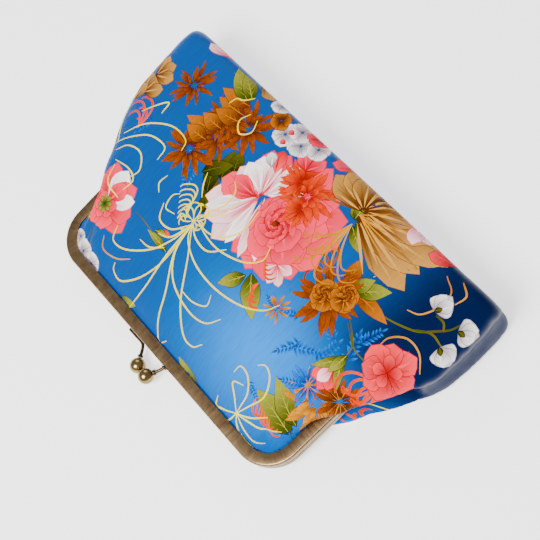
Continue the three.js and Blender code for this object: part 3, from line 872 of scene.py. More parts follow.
@dataclass(frozen=True)
class BrassFinish:
    """Antique brass: bright metal under brown lacquer, darker where it is tarnished."""

    name: str
    bright: tuple[int, int, int]
    dark: tuple[int, int, int]
    roughness: float
    tarnish: float
    brushed: bool

    def dress(self, effects: Effects) -> Material:
        """Makes the material.

        Args:
            effects: the shared groups.

        Returns:
            The material.
        """
        material = bpy.data.materials.new(self.name)
        material.use_nodes = True
        tree = Tree(material.node_tree)
        shader = material.node_tree.nodes["Principled BSDF"]
        places = tree.node("TexCoord")
        flat = places.outputs["UV"] if self.brushed else places.outputs["Object"]
        brushing = tree.node("Group", {}, node_tree=effects.brushing)
        tree.tree.links.new(flat, brushing.inputs["Place"])
        brushing.inputs["Along"].default_value = 90.0 if self.brushed else 900.0
        brushing.inputs["Across"].default_value = 3.0 if self.brushed else 900.0
        patina = tree.node("Group", {"Place": places.outputs["Object"], "Scale": 210.0,
            "Amount": self.tarnish},
                           node_tree=effects.patina)
        streak = tree.ramp(brushing.outputs["Streaks"], 0.3, 0.72)
        shade = tree.math("ADD", patina.outputs["Mask"],
            tree.math("MULTIPLY", streak, 0.3 if self.brushed else 0.12),
                          0)
        colour = tree.blend(shade, linear(*self.bright), linear(*self.dark))
        tree.tree.links.new(colour, shader.inputs["Base Color"])
        rough = tree.ramp(brushing.outputs["Broad"], 0.2, 0.8, self.roughness - 0.06, self.roughness + 0.08)
        tree.tree.links.new(rough, shader.inputs["Roughness"])
        shader.inputs["Metallic"].default_value = 1.0
        bump = tree.node("Bump", {"Strength": 0.12 if self.brushed else 0.05, "Distance": 0.00006,
                                  "Height": brushing.outputs["Streaks"]})
        tree.tree.links.new(bump.outputs[0], shader.inputs["Normal"])
        shader.inputs["Coat Weight"].default_value = 0.12
        shader.inputs["Coat Roughness"].default_value = 0.2
        return material


@dataclass(frozen=True)
class SatinFinish:
    """Padded satin: its print and its woven relief come from the cloth's own attributes and flat map; the
    brocade floats get a painted glint.
    """

    name: str
    printed: bool
    plain: tuple[int, int, int] = (8, 96, 158)
    roughness: float = 0.38
    sheen: float = 0.02

    def dress(self, effects: Effects) -> Material:
        """Makes the material.

        Args:
            effects: the shared groups.

        Returns:
            The material.
        """
        material = bpy.data.materials.new(self.name)
        material.use_nodes = True
        tree = Tree(material.node_tree)
        shader = material.node_tree.nodes["Principled BSDF"]
        places = tree.node("TexCoord")
        flat = places.outputs["UV"] if self.printed else places.outputs["Object"]
        weave = tree.node("Group", {"Place": flat, "Threads": 2800.0, "Slubs": 0.5}, node_tree=effects.weave)
        ripple = tree.node("Group", {"Place": places.outputs["Object"], "Scale": 70.0},
            node_tree=effects.ripple)
        colour: object = seen(*self.plain)[:3]
        height = tree.math("MULTIPLY", weave.outputs["Height"], 0.05)
        rough: object = self.roughness
        if self.printed:
            ink = tree.node("VertexColor", layer_name="ink")
            thread = tree.node("VertexColor", layer_name="thread")
            parts = tree.node("SeparateColor", {0: thread.outputs[0]})
            colour = ink.outputs[0]
            spot = tree.node("VectorMath", {0: flat, 3: 420.0}, operation="SCALE")
            brocade = tree.node("TexVoronoi", {"Vector": spot.outputs[0], "Scale": 1.6},
                                feature="SMOOTH_F1")
            floats = tree.node("TexNoise", {"Vector": spot.outputs[0], "Scale": 2.2, "Detail": 3.0,
                                            "Distortion": 2.0})
            raised = tree.math("MULTIPLY", parts.outputs[0], tree.math(
                "MULTIPLY_ADD", brocade.outputs[0], -0.9, floats.outputs[0]))
            height = tree.math("ADD", height, tree.math("MULTIPLY_ADD", raised, 1.6, tree.math(
                "MULTIPLY", parts.outputs[1], 0.55)))
            # Painted highlight: the brocade floats are lightened towards white in the base colour.
            painted_glint = tree.ramp(floats.outputs[0], 0.42, 0.62)
            lit = tree.blend(tree.math("MULTIPLY", painted_glint, tree.math("MULTIPLY", parts.outputs[0], 0.55)),
                             colour, linear(255, 255, 255), "SOFT_LIGHT")
            colour = lit
            rough = tree.math("MULTIPLY_ADD", parts.outputs[2], 0.18, self.roughness)
        shade = tree.ramp(weave.outputs["Shade"], 0.3, 0.7, 0.93, 1.05)
        tinted = tree.node("VectorMath", {0: colour, 3: shade}, operation="SCALE")
        tree.tree.links.new(tinted.outputs[0], shader.inputs["Base Color"])
        tree.tree.links.new(tinted.outputs[0], shader.inputs["Specular Tint"])
        if isinstance(rough, NodeSocket):
            tree.tree.links.new(rough, shader.inputs["Roughness"])
        else:
            shader.inputs["Roughness"].default_value = rough
        height = tree.math("ADD", height, tree.math("MULTIPLY", ripple.outputs["Height"], 1.5))
        bump = tree.node("Bump", {"Strength": 0.5, "Distance": 0.0004, "Height": height})
        tree.tree.links.new(bump.outputs[0], shader.inputs["Normal"])
        shader.inputs["Specular IOR Level"].default_value = 0.12
        shader.inputs["Sheen Weight"].default_value = self.sheen
        shader.inputs["Sheen Roughness"].default_value = 0.35
        shader.inputs["Sheen Tint"].default_value = linear(150, 205, 255)
        return material


class Tint(Enum):
    """The print's colours, each from its depth to its edge, as they look on a screen."""

    ROSE = ((170, 10, 44), (238, 40, 86), (253, 116, 146))
    BLUSH = ((224, 58, 102), (250, 142, 168), (255, 238, 238))
    WHITE = ((232, 120, 150), (255, 236, 236), (255, 255, 255))
    CORAL = ((160, 14, 34), (226, 52, 70), (250, 122, 134))
    CREAM = ((80, 48, 8), (148, 98, 30), (228, 192, 128))
    GOLD = ((84, 48, 8), (160, 102, 20), (216, 160, 54))
    BRONZE = ((40, 28, 16), (124, 74, 18), (186, 120, 34))
    EMBER = ((128, 28, 4), (206, 66, 10), (240, 122, 30))
    OLIVE = ((44, 54, 18), (112, 120, 42), (196, 194, 112))
    MOSS = ((24, 36, 16), (66, 74, 26), (128, 124, 48))
    PEARL = ((150, 140, 150), (224, 214, 216), (255, 250, 246))
    AQUA = ((0, 70, 138), (0, 118, 190), (6, 160, 224))
    STRAW = ((206, 182, 22), (232, 214, 44), (244, 234, 84))
    OCHRE = ((130, 84, 14), (190, 134, 34), (224, 178, 66))


@dataclass
class Patch:
    """One area of the print, with its colour from root to tip."""

    outline: np.ndarray
    root: np.ndarray
    tip: np.ndarray
    inner: np.ndarray
    outer: np.ndarray
    rim: float = 0.0
    half_width: float = 1.0
    relief: float = 0.0
    line: float = 0.0


def bow(count: int, fullness: float, sharpness: float) -> np.ndarray:
    """Half the width of a petal along its length, as shares of its widest."""
    t = np.linspace(0, 1, count)
    return np.sin(math.pi * t**fullness) ** sharpness


class Artwork:
    """The flower print, laid out on the flat cloth: u across from the middle and v down from the bar."""

    def __init__(self, seed: int) -> None:
        """Starts with bare cloth."""
        self.patches: list[Patch] = []
        self.chance = np.random.default_rng(seed)

    def ink(self, *colour: float) -> np.ndarray:
        """A printed colour, as a shader takes it."""
        return np.array(seen(*colour)[:3])

    def petal(self, root: Point, angle: float, long: float, wide: float, tint: Tint, *,
            fullness: float = 1.45,
              sharpness: float = 0.72, ruffle: float = 0.0, bend: float = 0.0, count: int = 8,
              relief: float = 0.0, line: float = 0.0, outline: bool = False, veins: int = 0,
              rim: float = 0.0, flip: bool = False) -> None:
        """Draws a petal.

        Args:
            root: where it starts.
            angle: its direction in degrees, from +u towards +v.
            long: its length.
            wide: its widest.
            tint: its colours.
            fullness: over 1 puts the widest place near the tip.
            sharpness: under 1 rounds its ends.
            ruffle: how uneven its edge is.
            bend: how far it curves aside, as a share of its length.
            count: points along each side.
            relief: how much it is woven in relief.
            line: how much it is metallic thread.
            outline: whether it has a dark edge.
            veins: streaks from its root.
            rim: how much its sides take the light colour.
            flip: whether its root is light and its tip deep.
        """
        deep, middle, light = (self.ink(*c) for c in tint.value)
        shade = 1 + self.chance.uniform(-0.12, 0.1)
        turn = math.radians(angle)
        ahead, aside = np.array((math.cos(turn), math.sin(turn))), np.array((-math.sin(turn), math.cos(turn)))
        start = np.array(root)
        t = np.linspace(0, 1, count)
        waves = self.chance.uniform(0, 2 * math.pi, 4)
        half = bow(count, fullness, sharpness) * wide / 2
        rough_l = 1 + ruffle * (np.sin(9 * t + waves[0]) + 0.6 * np.sin(19 * t + waves[1])) * t
        rough_r = 1 + ruffle * (np.sin(10 * t + waves[2]) + 0.6 * np.sin(17 * t + waves[3])) * t

        def edge(scale: float) -> np.ndarray:
            """The petal's outline at a scale of its width."""
            middle_line = start + np.outer(t * long, ahead) + np.outer(bend * long * t**2, aside)
            left = middle_line + np.outer(half * rough_l * scale, aside)
            right = middle_line - np.outer(half * rough_r * scale, aside)
            return np.concatenate([left[:-1], right[::-1][:-1]])

        tip = start + ahead * long + aside * bend * long
        inner, outer = (light, middle) if flip else (mix(deep, middle, 0.4), mix(middle, light, 0.65))
        if outline:
            grown = edge(1.0)
            centre = grown.mean(axis=0)
            reach = np.linalg.norm(grown - centre, axis=1, keepdims=True)
            grown = centre + (grown - centre) * (1 + 0.32 / np.maximum(reach, 1.0))
            self.patches.append(Patch(grown, start, tip, deep * 0.8, mix(deep, middle, 0.5), 0, wide / 2,
                relief,
                                      line))
        self.patches.append(Patch(edge(1.0), start, tip, inner * shade, outer * shade, rim, wide / 2, relief,
            line))
        for k in range(veins):
            lean = (k - (veins - 1) / 2) * wide / long * 26 + self.chance.uniform(-3, 3)
            along = np.array((math.cos(turn + math.radians(lean)), math.sin(turn + math.radians(lean))))
            across = np.array((-along[1], along[0]))
            s = np.linspace(0, 1, 4)
            reach = long * self.chance.uniform(0.5, 0.85)
            line_at = start + along * long * 0.08 + np.outer(s * reach, along) + np.outer(
                bend * reach * s**2, aside)
            thick = bow(4, 0.8, 1.0) * wide * 0.05 + 0.06
            colour = mix(deep, middle, 0.35) if k % 2 == 0 else mix(middle, light, 0.9)
            shape = np.concatenate([line_at + np.outer(thick, across),
                (line_at - np.outer(thick, across))[::-1]])
            self.patches.append(Patch(shape, start, tip, colour, mix(colour, outer, 0.7), 0, wide / 2,
                relief, line))

    def stroke(self, points: Sequence[Point], width: float, tint: Tint, relief: float = 0.35,
               line: float = 1.0, taper: float = 0.35, steps: int = 5) -> None:
        """Draws a line through points, thin at both ends.

        Args:
            points: what it passes through.
            width: its widest.
            tint: its colours.
            relief: how much it stands out.
            line: how much it is metallic thread.
            taper: its width at the ends, as a share.
            steps: places between each two points.
        """
        path = smooth_path([Vector((u, v, 0)) for u, v in points], steps)
        route = np.array([(p.x, p.y) for p in path])
        ahead = np.gradient(route, axis=0)
        ahead /= np.maximum(np.linalg.norm(ahead, axis=1, keepdims=True), 1e-6)
        aside = np.stack([-ahead[:, 1], ahead[:, 0]], axis=1)
        t = np.linspace(0, 1, len(route))
        half = width / 2 * (taper + (1 - taper) * np.sin(math.pi * np.clip(t, 0.02, 0.98)) ** 0.7)[:, None]
        outline = np.concatenate([route + aside * half, (route - aside * half)[::-1]])
        deep, middle, light = (self.ink(*c) for c in tint.value)
        self.patches.append(Patch(outline, route[0], route[-1], light, mix(middle, light, 0.4), 0, width,
            relief,
                                  line))

    def curl(self, root: Point, tip: Point, bend: float, hook: float, width: float, tint: Tint,
             relief: float = 0.35) -> None:
        """Draws a curling thread from root to tip.

        Args:
            root: where it starts.
            tip: the far end of its sweep.
            bend: how far it bows aside, as a share of its length.
            hook: how far it turns back at the tip, as a share.
            width: its width.
            tint: its colours.
            relief: how much it stands out.
        """
        a, b = np.array(root), np.array(tip)
        way = b - a
        side = np.array((-way[1], way[0]))
        points = [a, a + way * 0.3 + side * bend * 0.65, a + way * 0.62 + side * bend,
                  a + way * 0.88 + side * bend * 0.72, b]
        if hook:
            points.append(b + way * 0.02 * abs(hook) - side * hook * 0.55)
            points.append(b - way * 0.14 * abs(hook) - side * hook * 0.85)
        self.stroke([tuple(p) for p in points], width, tint, relief, steps=3)

    def leaf(self, root: Point, tip: Point, wide: float, tint: Tint, bend: float = 0.08) -> None:
        """Draws a leaf with a dark edge, a midrib and side veins."""
        way = np.array(tip) - np.array(root)
        long, angle = float(np.linalg.norm(way)), math.degrees(math.atan2(way[1], way[0]))
        self.petal(root, angle, long, wide, tint, fullness=0.85, sharpness=1.0, ruffle=0.04, bend=bend,
            outline=True,
                   rim=0.3)
        deep, middle, light = (self.ink(*c) for c in tint.value)
        side = np.array((-way[1], way[0])) / long
        rib = [np.array(root) + way * t + side * bend * long * t**2 for t in (0.02, 0.35, 0.65, 0.94)]
        self.stroke([tuple(p) for p in rib], 0.5, tint, 0.1, 0.0, steps=3)
        for k in range(1, 5):
            base = np.array(root) + way * k / 5.5 + side * bend * long * (k / 5.5) ** 2
            for hand in (-1, 1):
                end = base + way * 0.16 + side * hand * wide * 0.34 * math.sin(math.pi * (k / 5.2) ** 0.85)
                self.stroke([tuple(base), tuple((base + end) / 2 + way * 0.012), tuple(end)], 0.26, tint,
                    0.05, 0.0, steps=1)
        self.patches[-1].outer = middle * 0.9

    def rosette(self, centre: Point, radius: float, petals: int, tint: Tint, turn: float = 0.0,
                wide: float = 1.15, ruffle: float = 0.1, veins: int = 2, squash: float = 1.0,
                start: float = 0.12) -> None:
        """Draws a ring of broad petals.

        Args:
            centre: its middle.
            radius: its reach.
            petals: how many.
            tint: its colours.
            turn: its turn in degrees.
            wide: each petal's width, as a share of the room it has at the rim.
            ruffle: how uneven their edges are.
            veins: streaks on each.
            squash: how flat it is down the cloth.
            start: where the petals start, as a share of the radius.
        """
        order = list(range(0, petals, 2)) + list(range(1, petals, 2))
        for k in order:
            angle = math.radians(turn + 360 * k / petals + self.chance.uniform(-6, 6))
            way = np.array((math.cos(angle), math.sin(angle) * squash))
            reach = radius * self.chance.uniform(0.88, 1.08) * float(np.linalg.norm(way))
            root = np.array(centre) + way * radius * start
            self.petal(tuple(root), math.degrees(math.atan2(way[1], way[0])), reach * (1 - start),
                       2 * math.pi * radius / petals * wide, tint, ruffle=ruffle, outline=True, veins=veins,
                       rim=0.5, bend=self.chance.uniform(-0.1, 0.1))

    def heart(self, centre: Point, radius: float, tint: Tint, turns: int = 4) -> None:
        """Draws a flower's furled heart: crescents that wind inwards."""
        for ring in range(turns):
            reach = radius * (1 - ring / (turns + 0.6))
            for k in range(5):
                angle = 360 * k / 5 + ring * 41 + self.chance.uniform(-8, 8)
                turn = math.radians(angle)
                spot = np.array(centre) + reach * 0.5 * np.array((math.cos(turn), math.sin(turn)))
                root = spot - reach * 0.55 * np.array((-math.sin(turn), math.cos(turn)))
                self.petal(tuple(root), angle + 90, reach * 1.15, reach * 0.62, tint, fullness=1.0,
                    sharpness=0.8,
                           bend=-0.32, outline=True, rim=0.5, count=7)

    def chrysanthemum(self, centre: Point, radius: float, petals: int, tint: Tint, *, turn: float = 0.0,
                      spread: float = 360.0, squash: float = 1.0, relief: float = 0.8, rings: int = 3,
                      curl: float = 0.22) -> None:
        """Draws a flower of many narrow petals, woven in relief.

        Args:
            centre: its middle.
            radius: its reach.
            petals: how many in the outer ring.
            tint: its colours.
            turn: the middle of its spread, in degrees.
            spread: how much of a circle it fills.
            squash: how flat it is down the cloth.
            relief: how much it stands out.
            rings: how many rings.
            curl: how far the petals bend.
        """
        for ring in range(rings):
            share = 1 - 0.3 * ring
            count = max(5, round(petals * (0.92 - 0.18 * ring)))
            for k in range(count):
                angle = math.radians(turn - spread / 2 + spread * (k + 0.5 * (ring % 2)) / count
                                     + self.chance.uniform(-5, 5))
                way = np.array((math.cos(angle), math.sin(angle) * squash))
                reach = radius * share * self.chance.uniform(0.82, 1.12) * float(np.linalg.norm(way))
                hand = 1 if (k + ring) % 3 else -1
                self.petal(tuple(np.array(centre) + way * radius * 0.1),
                    math.degrees(math.atan2(way[1], way[0])),
                           reach * 0.9, radius * 0.17 * (1 - 0.12 * ring), tint, fullness=1.5, sharpness=0.8,
                           bend=hand * curl * self.chance.uniform(0.4, 1.2), count=6, relief=relief, line=0.4,
                           outline=ring == 0)

    def sprig(self, centre: Point, radius: float, turn: float, tint: Tint = Tint.AQUA) -> None:
        """Draws a sprig of small woven leaves along a stem."""
        ahead = np.array((math.cos(math.radians(turn)), math.sin(math.radians(turn))))
        low = np.array(centre) - ahead * radius * 0.8
        for k in range(6):
            base = low + ahead * radius * 0.27 * k
            for hand in (-1, 1):
                self.petal(tuple(base), turn + hand * self.chance.uniform(32, 60), radius * (0.62 - 0.05 * k),
                           radius * 0.17, tint, fullness=0.9, sharpness=1.0, bend=hand * 0.1, count=5,
                           relief=1.0, line=0.0)
        self.petal(tuple(low + ahead * radius * 1.5), turn, radius * 0.5, radius * 0.17, tint, fullness=0.9,
                   sharpness=1.0, count=6, relief=1.0)

    def lay_threads(self) -> None:
        """Draws the pale threads of the line-work flowers, from their hearts outwards."""
        heart = (30, 68)
        for tail in (
            ((27, 50), (15, 31), (8, 15), (2, 8), (-2, 12)),
            ((30, 46), (28, 24), (31, 7)),
            ((18, 53), (5, 35), (-9, 23), (-18, 22), (-22, 27)),
            ((27, 51), (16, 39), (-2, 34), (-15, 36), (-21, 44)),
            ((29, 44), (34, 27), (44, 16), (52, 17), (54, 21)),
            ((33, 55), (40, 42), (53, 31), (64, 29), (68, 37)),
            ((25, 60), (11, 54), (-7, 53), (-25, 57), (-37, 64), (-42, 72)),
            ((38, 58), (48, 57), (53, 65)),
            ((35, 55), (43, 51)),
            ((22, 64), (12, 64), (4, 72)),
        ):
            self.stroke([heart, *tail], 1.0, Tint.STRAW)
        for tail in (
            ((20, 71), (11, 75), (5, 83), (4, 91), (5, 99)),
            ((18, 69), (6, 69), (-9, 74), (-17, 82), (-15, 90)),
            ((28, 76), (21, 83), (18, 96)),
            ((27, 80), (23, 89), (24, 97), (29, 101)),
        ):
            self.stroke([(30, 72), *tail], 0.95, Tint.STRAW)
        for line in (
            ((9, 39), (-1, 39), (-9, 43), (-7, 49)), ((34, 48), (42, 42), (50, 41)),
            ((60, 67), (64, 71), (63, 77)), ((43, 65), (50, 64), (52, 71), (49, 75)),
            ((37, 82), (42, 88), (45, 94)),
        ):
            self.stroke(line, 0.8, Tint.STRAW)
        self.stroke(((47, 29), (55, 23), (66, 21), (71, 27)), 0.9, Tint.OCHRE)
        for k in range(13):
            angle = math.radians(-70 + 25 * k)
            long = 9 if k < 8 else 6
            tip = (31 + long * math.cos(angle) * 1.1, 71 + long * math.sin(angle))
            self.curl((31, 70), tip, 0.3 if k % 2 else -0.3, 0.35, 0.8, Tint.STRAW)
        for k in range(7):
            self.curl((35 + 0.7 * k, 67 + 1.1 * k), (40 + 1.6 * k, 66 + 2.6 * k), 0.45, 0.4, 0.8, Tint.STRAW)
        small = (-62, 15)
        for tail in (
            ((-61, 27), (-55, 34), (-48, 35), (-47, 30)),
            ((-55, 11), (-49, 9), (-47, 14)), ((-56, 21), (-50, 26), (-56, 29)),
            ((-66, 24), (-69, 33), (-65, 42), (-59, 45), (-55, 42)),
            ((-70, 12), (-78, 11), (-85, 13)), ((-70, 17), (-79, 20), (-88, 27)),
            ((-66, 10), (-74, 7), (-82, 8)), ((-60, 8), (-57, 5)), ((-71, 20), (-78, 27)),
        ):
            self.stroke([small, *tail], 0.9, Tint.STRAW)
        for line in (
            ((80, 53), (79, 61), (86, 64), (98, 62)), ((82, 61), (80, 68), (87, 75), (97, 73), (103, 66)),
            ((75, 79), (77, 87), (89, 86), (99, 78), (108, 68)),
            ((106, 76), (97, 89), (83, 98), (70, 98), (67, 92)),
            ((94, 99), (96, 106), (106, 92)), ((79, 48), (92, 50), (96, 60)),
            ((106, 70), (116, 82), (121, 98)),
        ):
            self.stroke(line, 0.9, Tint.STRAW)

    def lay_left(self) -> None:
        """Draws the flowers of the left side."""
        self.leaf((-93, 29), (-64, 36), 15, Tint.OLIVE, -0.1)
        self.leaf((-92, 35), (-66, 42), 12, Tint.OLIVE, 0.12)
        for k in range(7):
            self.curl((-66 - 2.2 * k, 30 - 0.5 * k), (-72 - 2.6 * k, 23 + 0.8 * (k % 3)), 0.25, 0.3, 1.1,
                Tint.EMBER, 0.6)
        self.chrysanthemum((-93, 51), 19, 20, Tint.OCHRE, relief=1.0)
        self.chrysanthemum((-83, 54), 12, 12, Tint.AQUA, relief=1.0, rings=2)
        self.chrysanthemum((-101, 60), 13, 14, Tint.BRONZE, relief=1.0, rings=2)
        for u, v, radius, turn in (
            (-61, 60, 8, -60), (-70, 66, 9, 150), (-79, 73, 9, 100), (-49, 73, 7, -20), (-88, 84, 9, 70),
            (-91, 94, 8, 110), (-62, 31, 6, 200), (-75, 49, 7, -30), (-38, 70, 6, 10), (-72, 82, 7, 20),
        ):
            self.sprig((u, v), radius, turn)
        self.stroke(((-88, 76), (-87, 84), (-80, 90), (-74, 94)), 0.9, Tint.MOSS, 0.0, 0.0)
        self.stroke(((-98, 83), (-88, 84), (-76, 91)), 0.8, Tint.MOSS, 0.0, 0.0)
        for angle, long, tint in ((-60, 13, Tint.CORAL), (-95, 14, Tint.ROSE), (-115, 12, Tint.CORAL),
                                  (-78, 11, Tint.BLUSH)):
            self.petal((-87, 70), angle, long, 7, tint, ruffle=0.07, outline=True, veins=1, rim=0.5)
        self.leaf((-88, 77), (-93, 60), 5.5, Tint.OLIVE, -0.2)
        self.leaf((-87, 77), (-80, 61), 5.0, Tint.OLIVE, 0.2)
        self.leaf((-88, 79), (-87, 66), 6.0, Tint.OLIVE)
        for k in range(9):
            self.curl((-110, 80), (-122 + 3.6 * k, 68 - 1.5 * (k % 3)), 0.25 * (-1) ** k, 0.25, 1.5,
                Tint.EMBER, 0.6)
        for angle, long, wide in ((-150, 13, 10), (-110, 13, 11), (165, 14, 11), (-70, 12, 9), (110, 15, 11),
            (60, 13, 11),
                                  (15, 14, 12), (-25, 12, 10)):
            self.petal((-109, 87), angle, long * 1.12, wide * 1.15, Tint.CORAL, ruffle=0.1, outline=True,
                veins=3, rim=0.6)
        for angle, long in ((-100, 8), (-20, 8), (60, 9), (140, 8)):
            self.petal((-109, 87), angle, long, 6, Tint.CORAL, ruffle=0.08, outline=True, veins=1)
        for line in (((-121, 98), (-114, 105), (-105, 106), (-98, 100), (-97, 93)),
                     ((-94, 116), (-101, 119), (-105, 128), (-104, 137), (-95, 142)),
                     ((-110, 134), (-111, 141), (-104, 145)),
                     ((-69, 116), (-71, 124), (-67, 134))):
            self.stroke(line, 1.0, Tint.OCHRE)
        for line in (((-86, 105), (-97, 108), (-106, 112), (-113, 119), (-117, 124), (-119, 130)),
                     ((-119, 115), (-112, 116), (-105, 112)), ((-115, 121), (-112, 124), (-107, 124))):
            self.stroke(line, 1.2, Tint.MOSS, 0.0, 0.0, 0.6)
        for u, v, turn in ((-119, 114, 195), (-120, 126, 150), (-105, 125, 95)):
            for lean in (-38, 38, 0, -18, 18):
                self.petal((u, v), turn + lean, 11 - abs(lean) * 0.06, 7.5, Tint.PEARL, ruffle=0.08,
                    outline=True,
                           veins=2, flip=lean == 0)
            self.leaf((u, v), (u + 4 * math.cos(math.radians(turn + 20)),
                v + 4 * math.sin(math.radians(turn + 20))), 2.6,
                      Tint.MOSS)

    def lay_gold(self) -> None:
        """Draws the gold flower left of the middle, with its leaves."""
        for root, tip, wide, tint in (
            ((-66, 104), (-92, 106), 8, Tint.GOLD), ((-68, 104), (-81, 118), 9, Tint.OLIVE),
            ((-62, 104), (-56, 118), 9, Tint.GOLD), ((-66, 103), (-70, 116), 8, Tint.OLIVE),
        ):
            self.leaf(root, tip, wide, tint)
        self.chrysanthemum((-59, 92), 19, 20, Tint.BRONZE, relief=0.9, rings=2)
        self.rosette((-57, 92), 9, 8, Tint.GOLD, ruffle=0.12, veins=2)
        self.rosette((-66, 98), 8, 7, Tint.GOLD, 20, ruffle=0.12, veins=2)
        self.heart((-55, 92), 5, Tint.GOLD, 2)
        self.heart((-65, 101), 4.5, Tint.GOLD, 2)
        for k in range(6):
            self.curl((-48, 100), (-41 + 0.8 * k, 92 + 4.5 * k), 0.3, 0.3, 1.2, Tint.BRONZE, 0.6)
        self.chrysanthemum((-42, 70), 8, 11, Tint.OCHRE, relief=0.8, rings=1)

    def lay_right(self) -> None:
        """Draws the flowers of the right side."""
        for root, tip in (((33, 80), (41, 96)), ((37, 86), (50, 104)), ((36, 96), (44, 112)),
            ((33, 104), (40, 114)),
                          ((48, 92), (38, 108)), ((31, 76), (36, 92))):
            self.leaf(root, tip, 9, Tint.MOSS, 0.12)
        self.sprig((52, 84), 8, -110)
        self.sprig((60, 97), 7, -60)
        self.sprig((98, 88), 7, -80)
        for u, v, radius, count in ((64, 96, 17, 18), (57, 112, 16, 16), (46, 126, 17, 18),
            (61, 122, 15, 15)):
            self.chrysanthemum((u, v), radius, count, Tint.BRONZE, relief=1.0)
        for root, tip in (((58, 114), (80, 106)), ((60, 106), (76, 103)), ((58, 116), (74, 114)),
            ((54, 130), (74, 126)),
                          ((52, 126), (70, 120)), ((56, 136), (77, 131))):
            self.leaf(root, tip, 9.5, Tint.GOLD, 0.1)
        self.chrysanthemum((92, 123), 12.5, 18, Tint.BRONZE, squash=1.25, relief=0.9)
        self.leaf((60, 137), (82, 145), 10, Tint.OLIVE, 0.1)
        self.leaf((58, 139), (74, 149), 8, Tint.OLIVE, -0.1)
        self.stroke(((46, 133), (43, 126), (48, 121), (54, 126), (52, 133)), 0.9, Tint.STRAW)
        self.stroke(((58, 141), (62, 136), (66, 134), (67, 129)), 0.9, Tint.STRAW)
        for k in range(5):
            self.curl((100, 84), (104 + 2.6 * k, 88 + 6 * (k % 3)), 0.3, 0.3, 1.3, Tint.EMBER, 0.6)
        self.leaf((31, 47), (50, 50), 4.5, Tint.OLIVE, -0.1)
        self.stroke(((46, 49), (57, 50), (64, 50)), 0.8, Tint.MOSS, 0.0, 0.0)
        self.petal((44, 52), 160, 8, 3.6, Tint.CORAL, outline=True)
        self.leaf((46, 51), (37, 54), 3.4, Tint.OLIVE)
        self.stroke(((74, 14), (80, 23), (86, 29)), 0.9, Tint.MOSS, 0.0, 0.0)
        self.stroke(((80, 16), (83, 24)), 0.8, Tint.MOSS, 0.0, 0.0)
        for u, v in ((69, 8), (78, 10), (88, 11)):
            self.rosette((u, v), 6.5, 6, Tint.PEARL, 15, ruffle=0.12, veins=1)
        self.leaf((84, 30), (97, 28), 8, Tint.OLIVE)
        self.leaf((88, 33), (99, 38), 7, Tint.GOLD)
        for angle, long, wide, tint in (
            (-165, 21, 13, Tint.ROSE), (-120, 15, 12, Tint.ROSE), (-60, 16, 13, Tint.ROSE),
            (165, 19, 13, Tint.ROSE),
            (60, 24, 12, Tint.ROSE), (20, 22, 14, Tint.ROSE), (85, 22, 11, Tint.WHITE),
            (118, 21, 12, Tint.ROSE),
            (140, 19, 8, Tint.WHITE), (100, 16, 9, Tint.ROSE),
        ):
            self.petal((83, 41), angle, long, wide * 1.15, tint, ruffle=0.09, outline=True, veins=3, rim=0.6)
        for angle, long in ((-150, 9), (-90, 9), (-30, 8), (160, 9), (30, 8)):
            self.petal((84, 40), angle, long, 7, Tint.ROSE, ruffle=0.1, outline=True, veins=2)
        for angle in (-170, -120, -75, -30, 15, 60, 100, 150):
            self.petal((84, 40), angle, 5.5, 2.6, Tint.OLIVE, outline=True)
        for u, v, turn in ((116, 100, 100), (121, 92, 60), (118, 112, 120)):
            for lean in (-40, 0, 40):
                self.petal((u, v), turn + lean, 14, 9, Tint.CREAM, ruffle=0.08, outline=True, veins=3)

    def lay_peony(self) -> None:
        """Draws the large peony in the middle, its open white neighbour and the ember flower over them."""
        self.leaf((-17, 73), (-33, 54), 12, Tint.OLIVE, -0.12)
        self.leaf((-15, 70), (-7, 55), 8, Tint.OLIVE, 0.12)
        for k in range(4):
            self.curl((-24, 72), (-31 + 2.2 * k, 61 + 2 * k), 0.25, 0.3, 1.3, Tint.EMBER, 0.6)
        for angle, long, wide, tint in (
            (-98, 30, 19, Tint.ROSE), (-72, 30, 17, Tint.ROSE), (-122, 32, 19, Tint.ROSE),
            (-150, 33, 20, Tint.ROSE),
            (-175, 35, 20, Tint.ROSE), (160, 37, 20, Tint.ROSE), (138, 38, 20, Tint.ROSE),
            (112, 38, 19, Tint.ROSE),
            (90, 40, 19, Tint.ROSE), (70, 38, 17, Tint.ROSE), (-110, 24, 15, Tint.ROSE),
            (-165, 27, 17, Tint.ROSE),
            (150, 29, 17, Tint.ROSE), (125, 30, 16, Tint.ROSE),
        ):
            self.petal((-8, 102), angle, long, wide, tint, ruffle=0.1, outline=True, veins=2, rim=0.7)
        for angle, long, wide, tint in (
            (-82, 34, 16, Tint.BLUSH), (-58, 33, 17, Tint.BLUSH), (-38, 32, 16, Tint.BLUSH),
            (-15, 26, 17, Tint.ROSE),
            (82, 28, 13, Tint.ROSE), (60, 27, 15, Tint.ROSE), (12, 22, 15, Tint.BLUSH),
        ):
            self.petal((11, 104), angle, long, wide, tint, ruffle=0.1, outline=True, veins=4, rim=0.8)
        for root, angle, long, wide, tint in (
            ((8, 106), -128, 35, 9, Tint.WHITE), ((8, 104), -112, 33, 7, Tint.BLUSH),
            ((10, 102), -95, 28, 8, Tint.WHITE),
            ((12, 103), -48, 30, 8, Tint.WHITE), ((10, 107), 132, 24, 13, Tint.WHITE),
            ((9, 107), 108, 26, 13, Tint.WHITE),
            ((12, 106), 48, 21, 14, Tint.WHITE), ((12, 106), 22, 20, 12, Tint.WHITE),
            ((11, 106), 74, 22, 7, Tint.BLUSH),
            ((12, 104), -22, 19, 9, Tint.ROSE), ((13, 103), 2, 18, 9, Tint.ROSE),
        ):
            self.petal(root, angle, long, wide, tint, ruffle=0.08, outline=True, veins=4, rim=0.8)
        self.petal((14, 119), 62, 13, 8, Tint.CORAL, ruffle=0.1, outline=True, veins=2, flip=True)
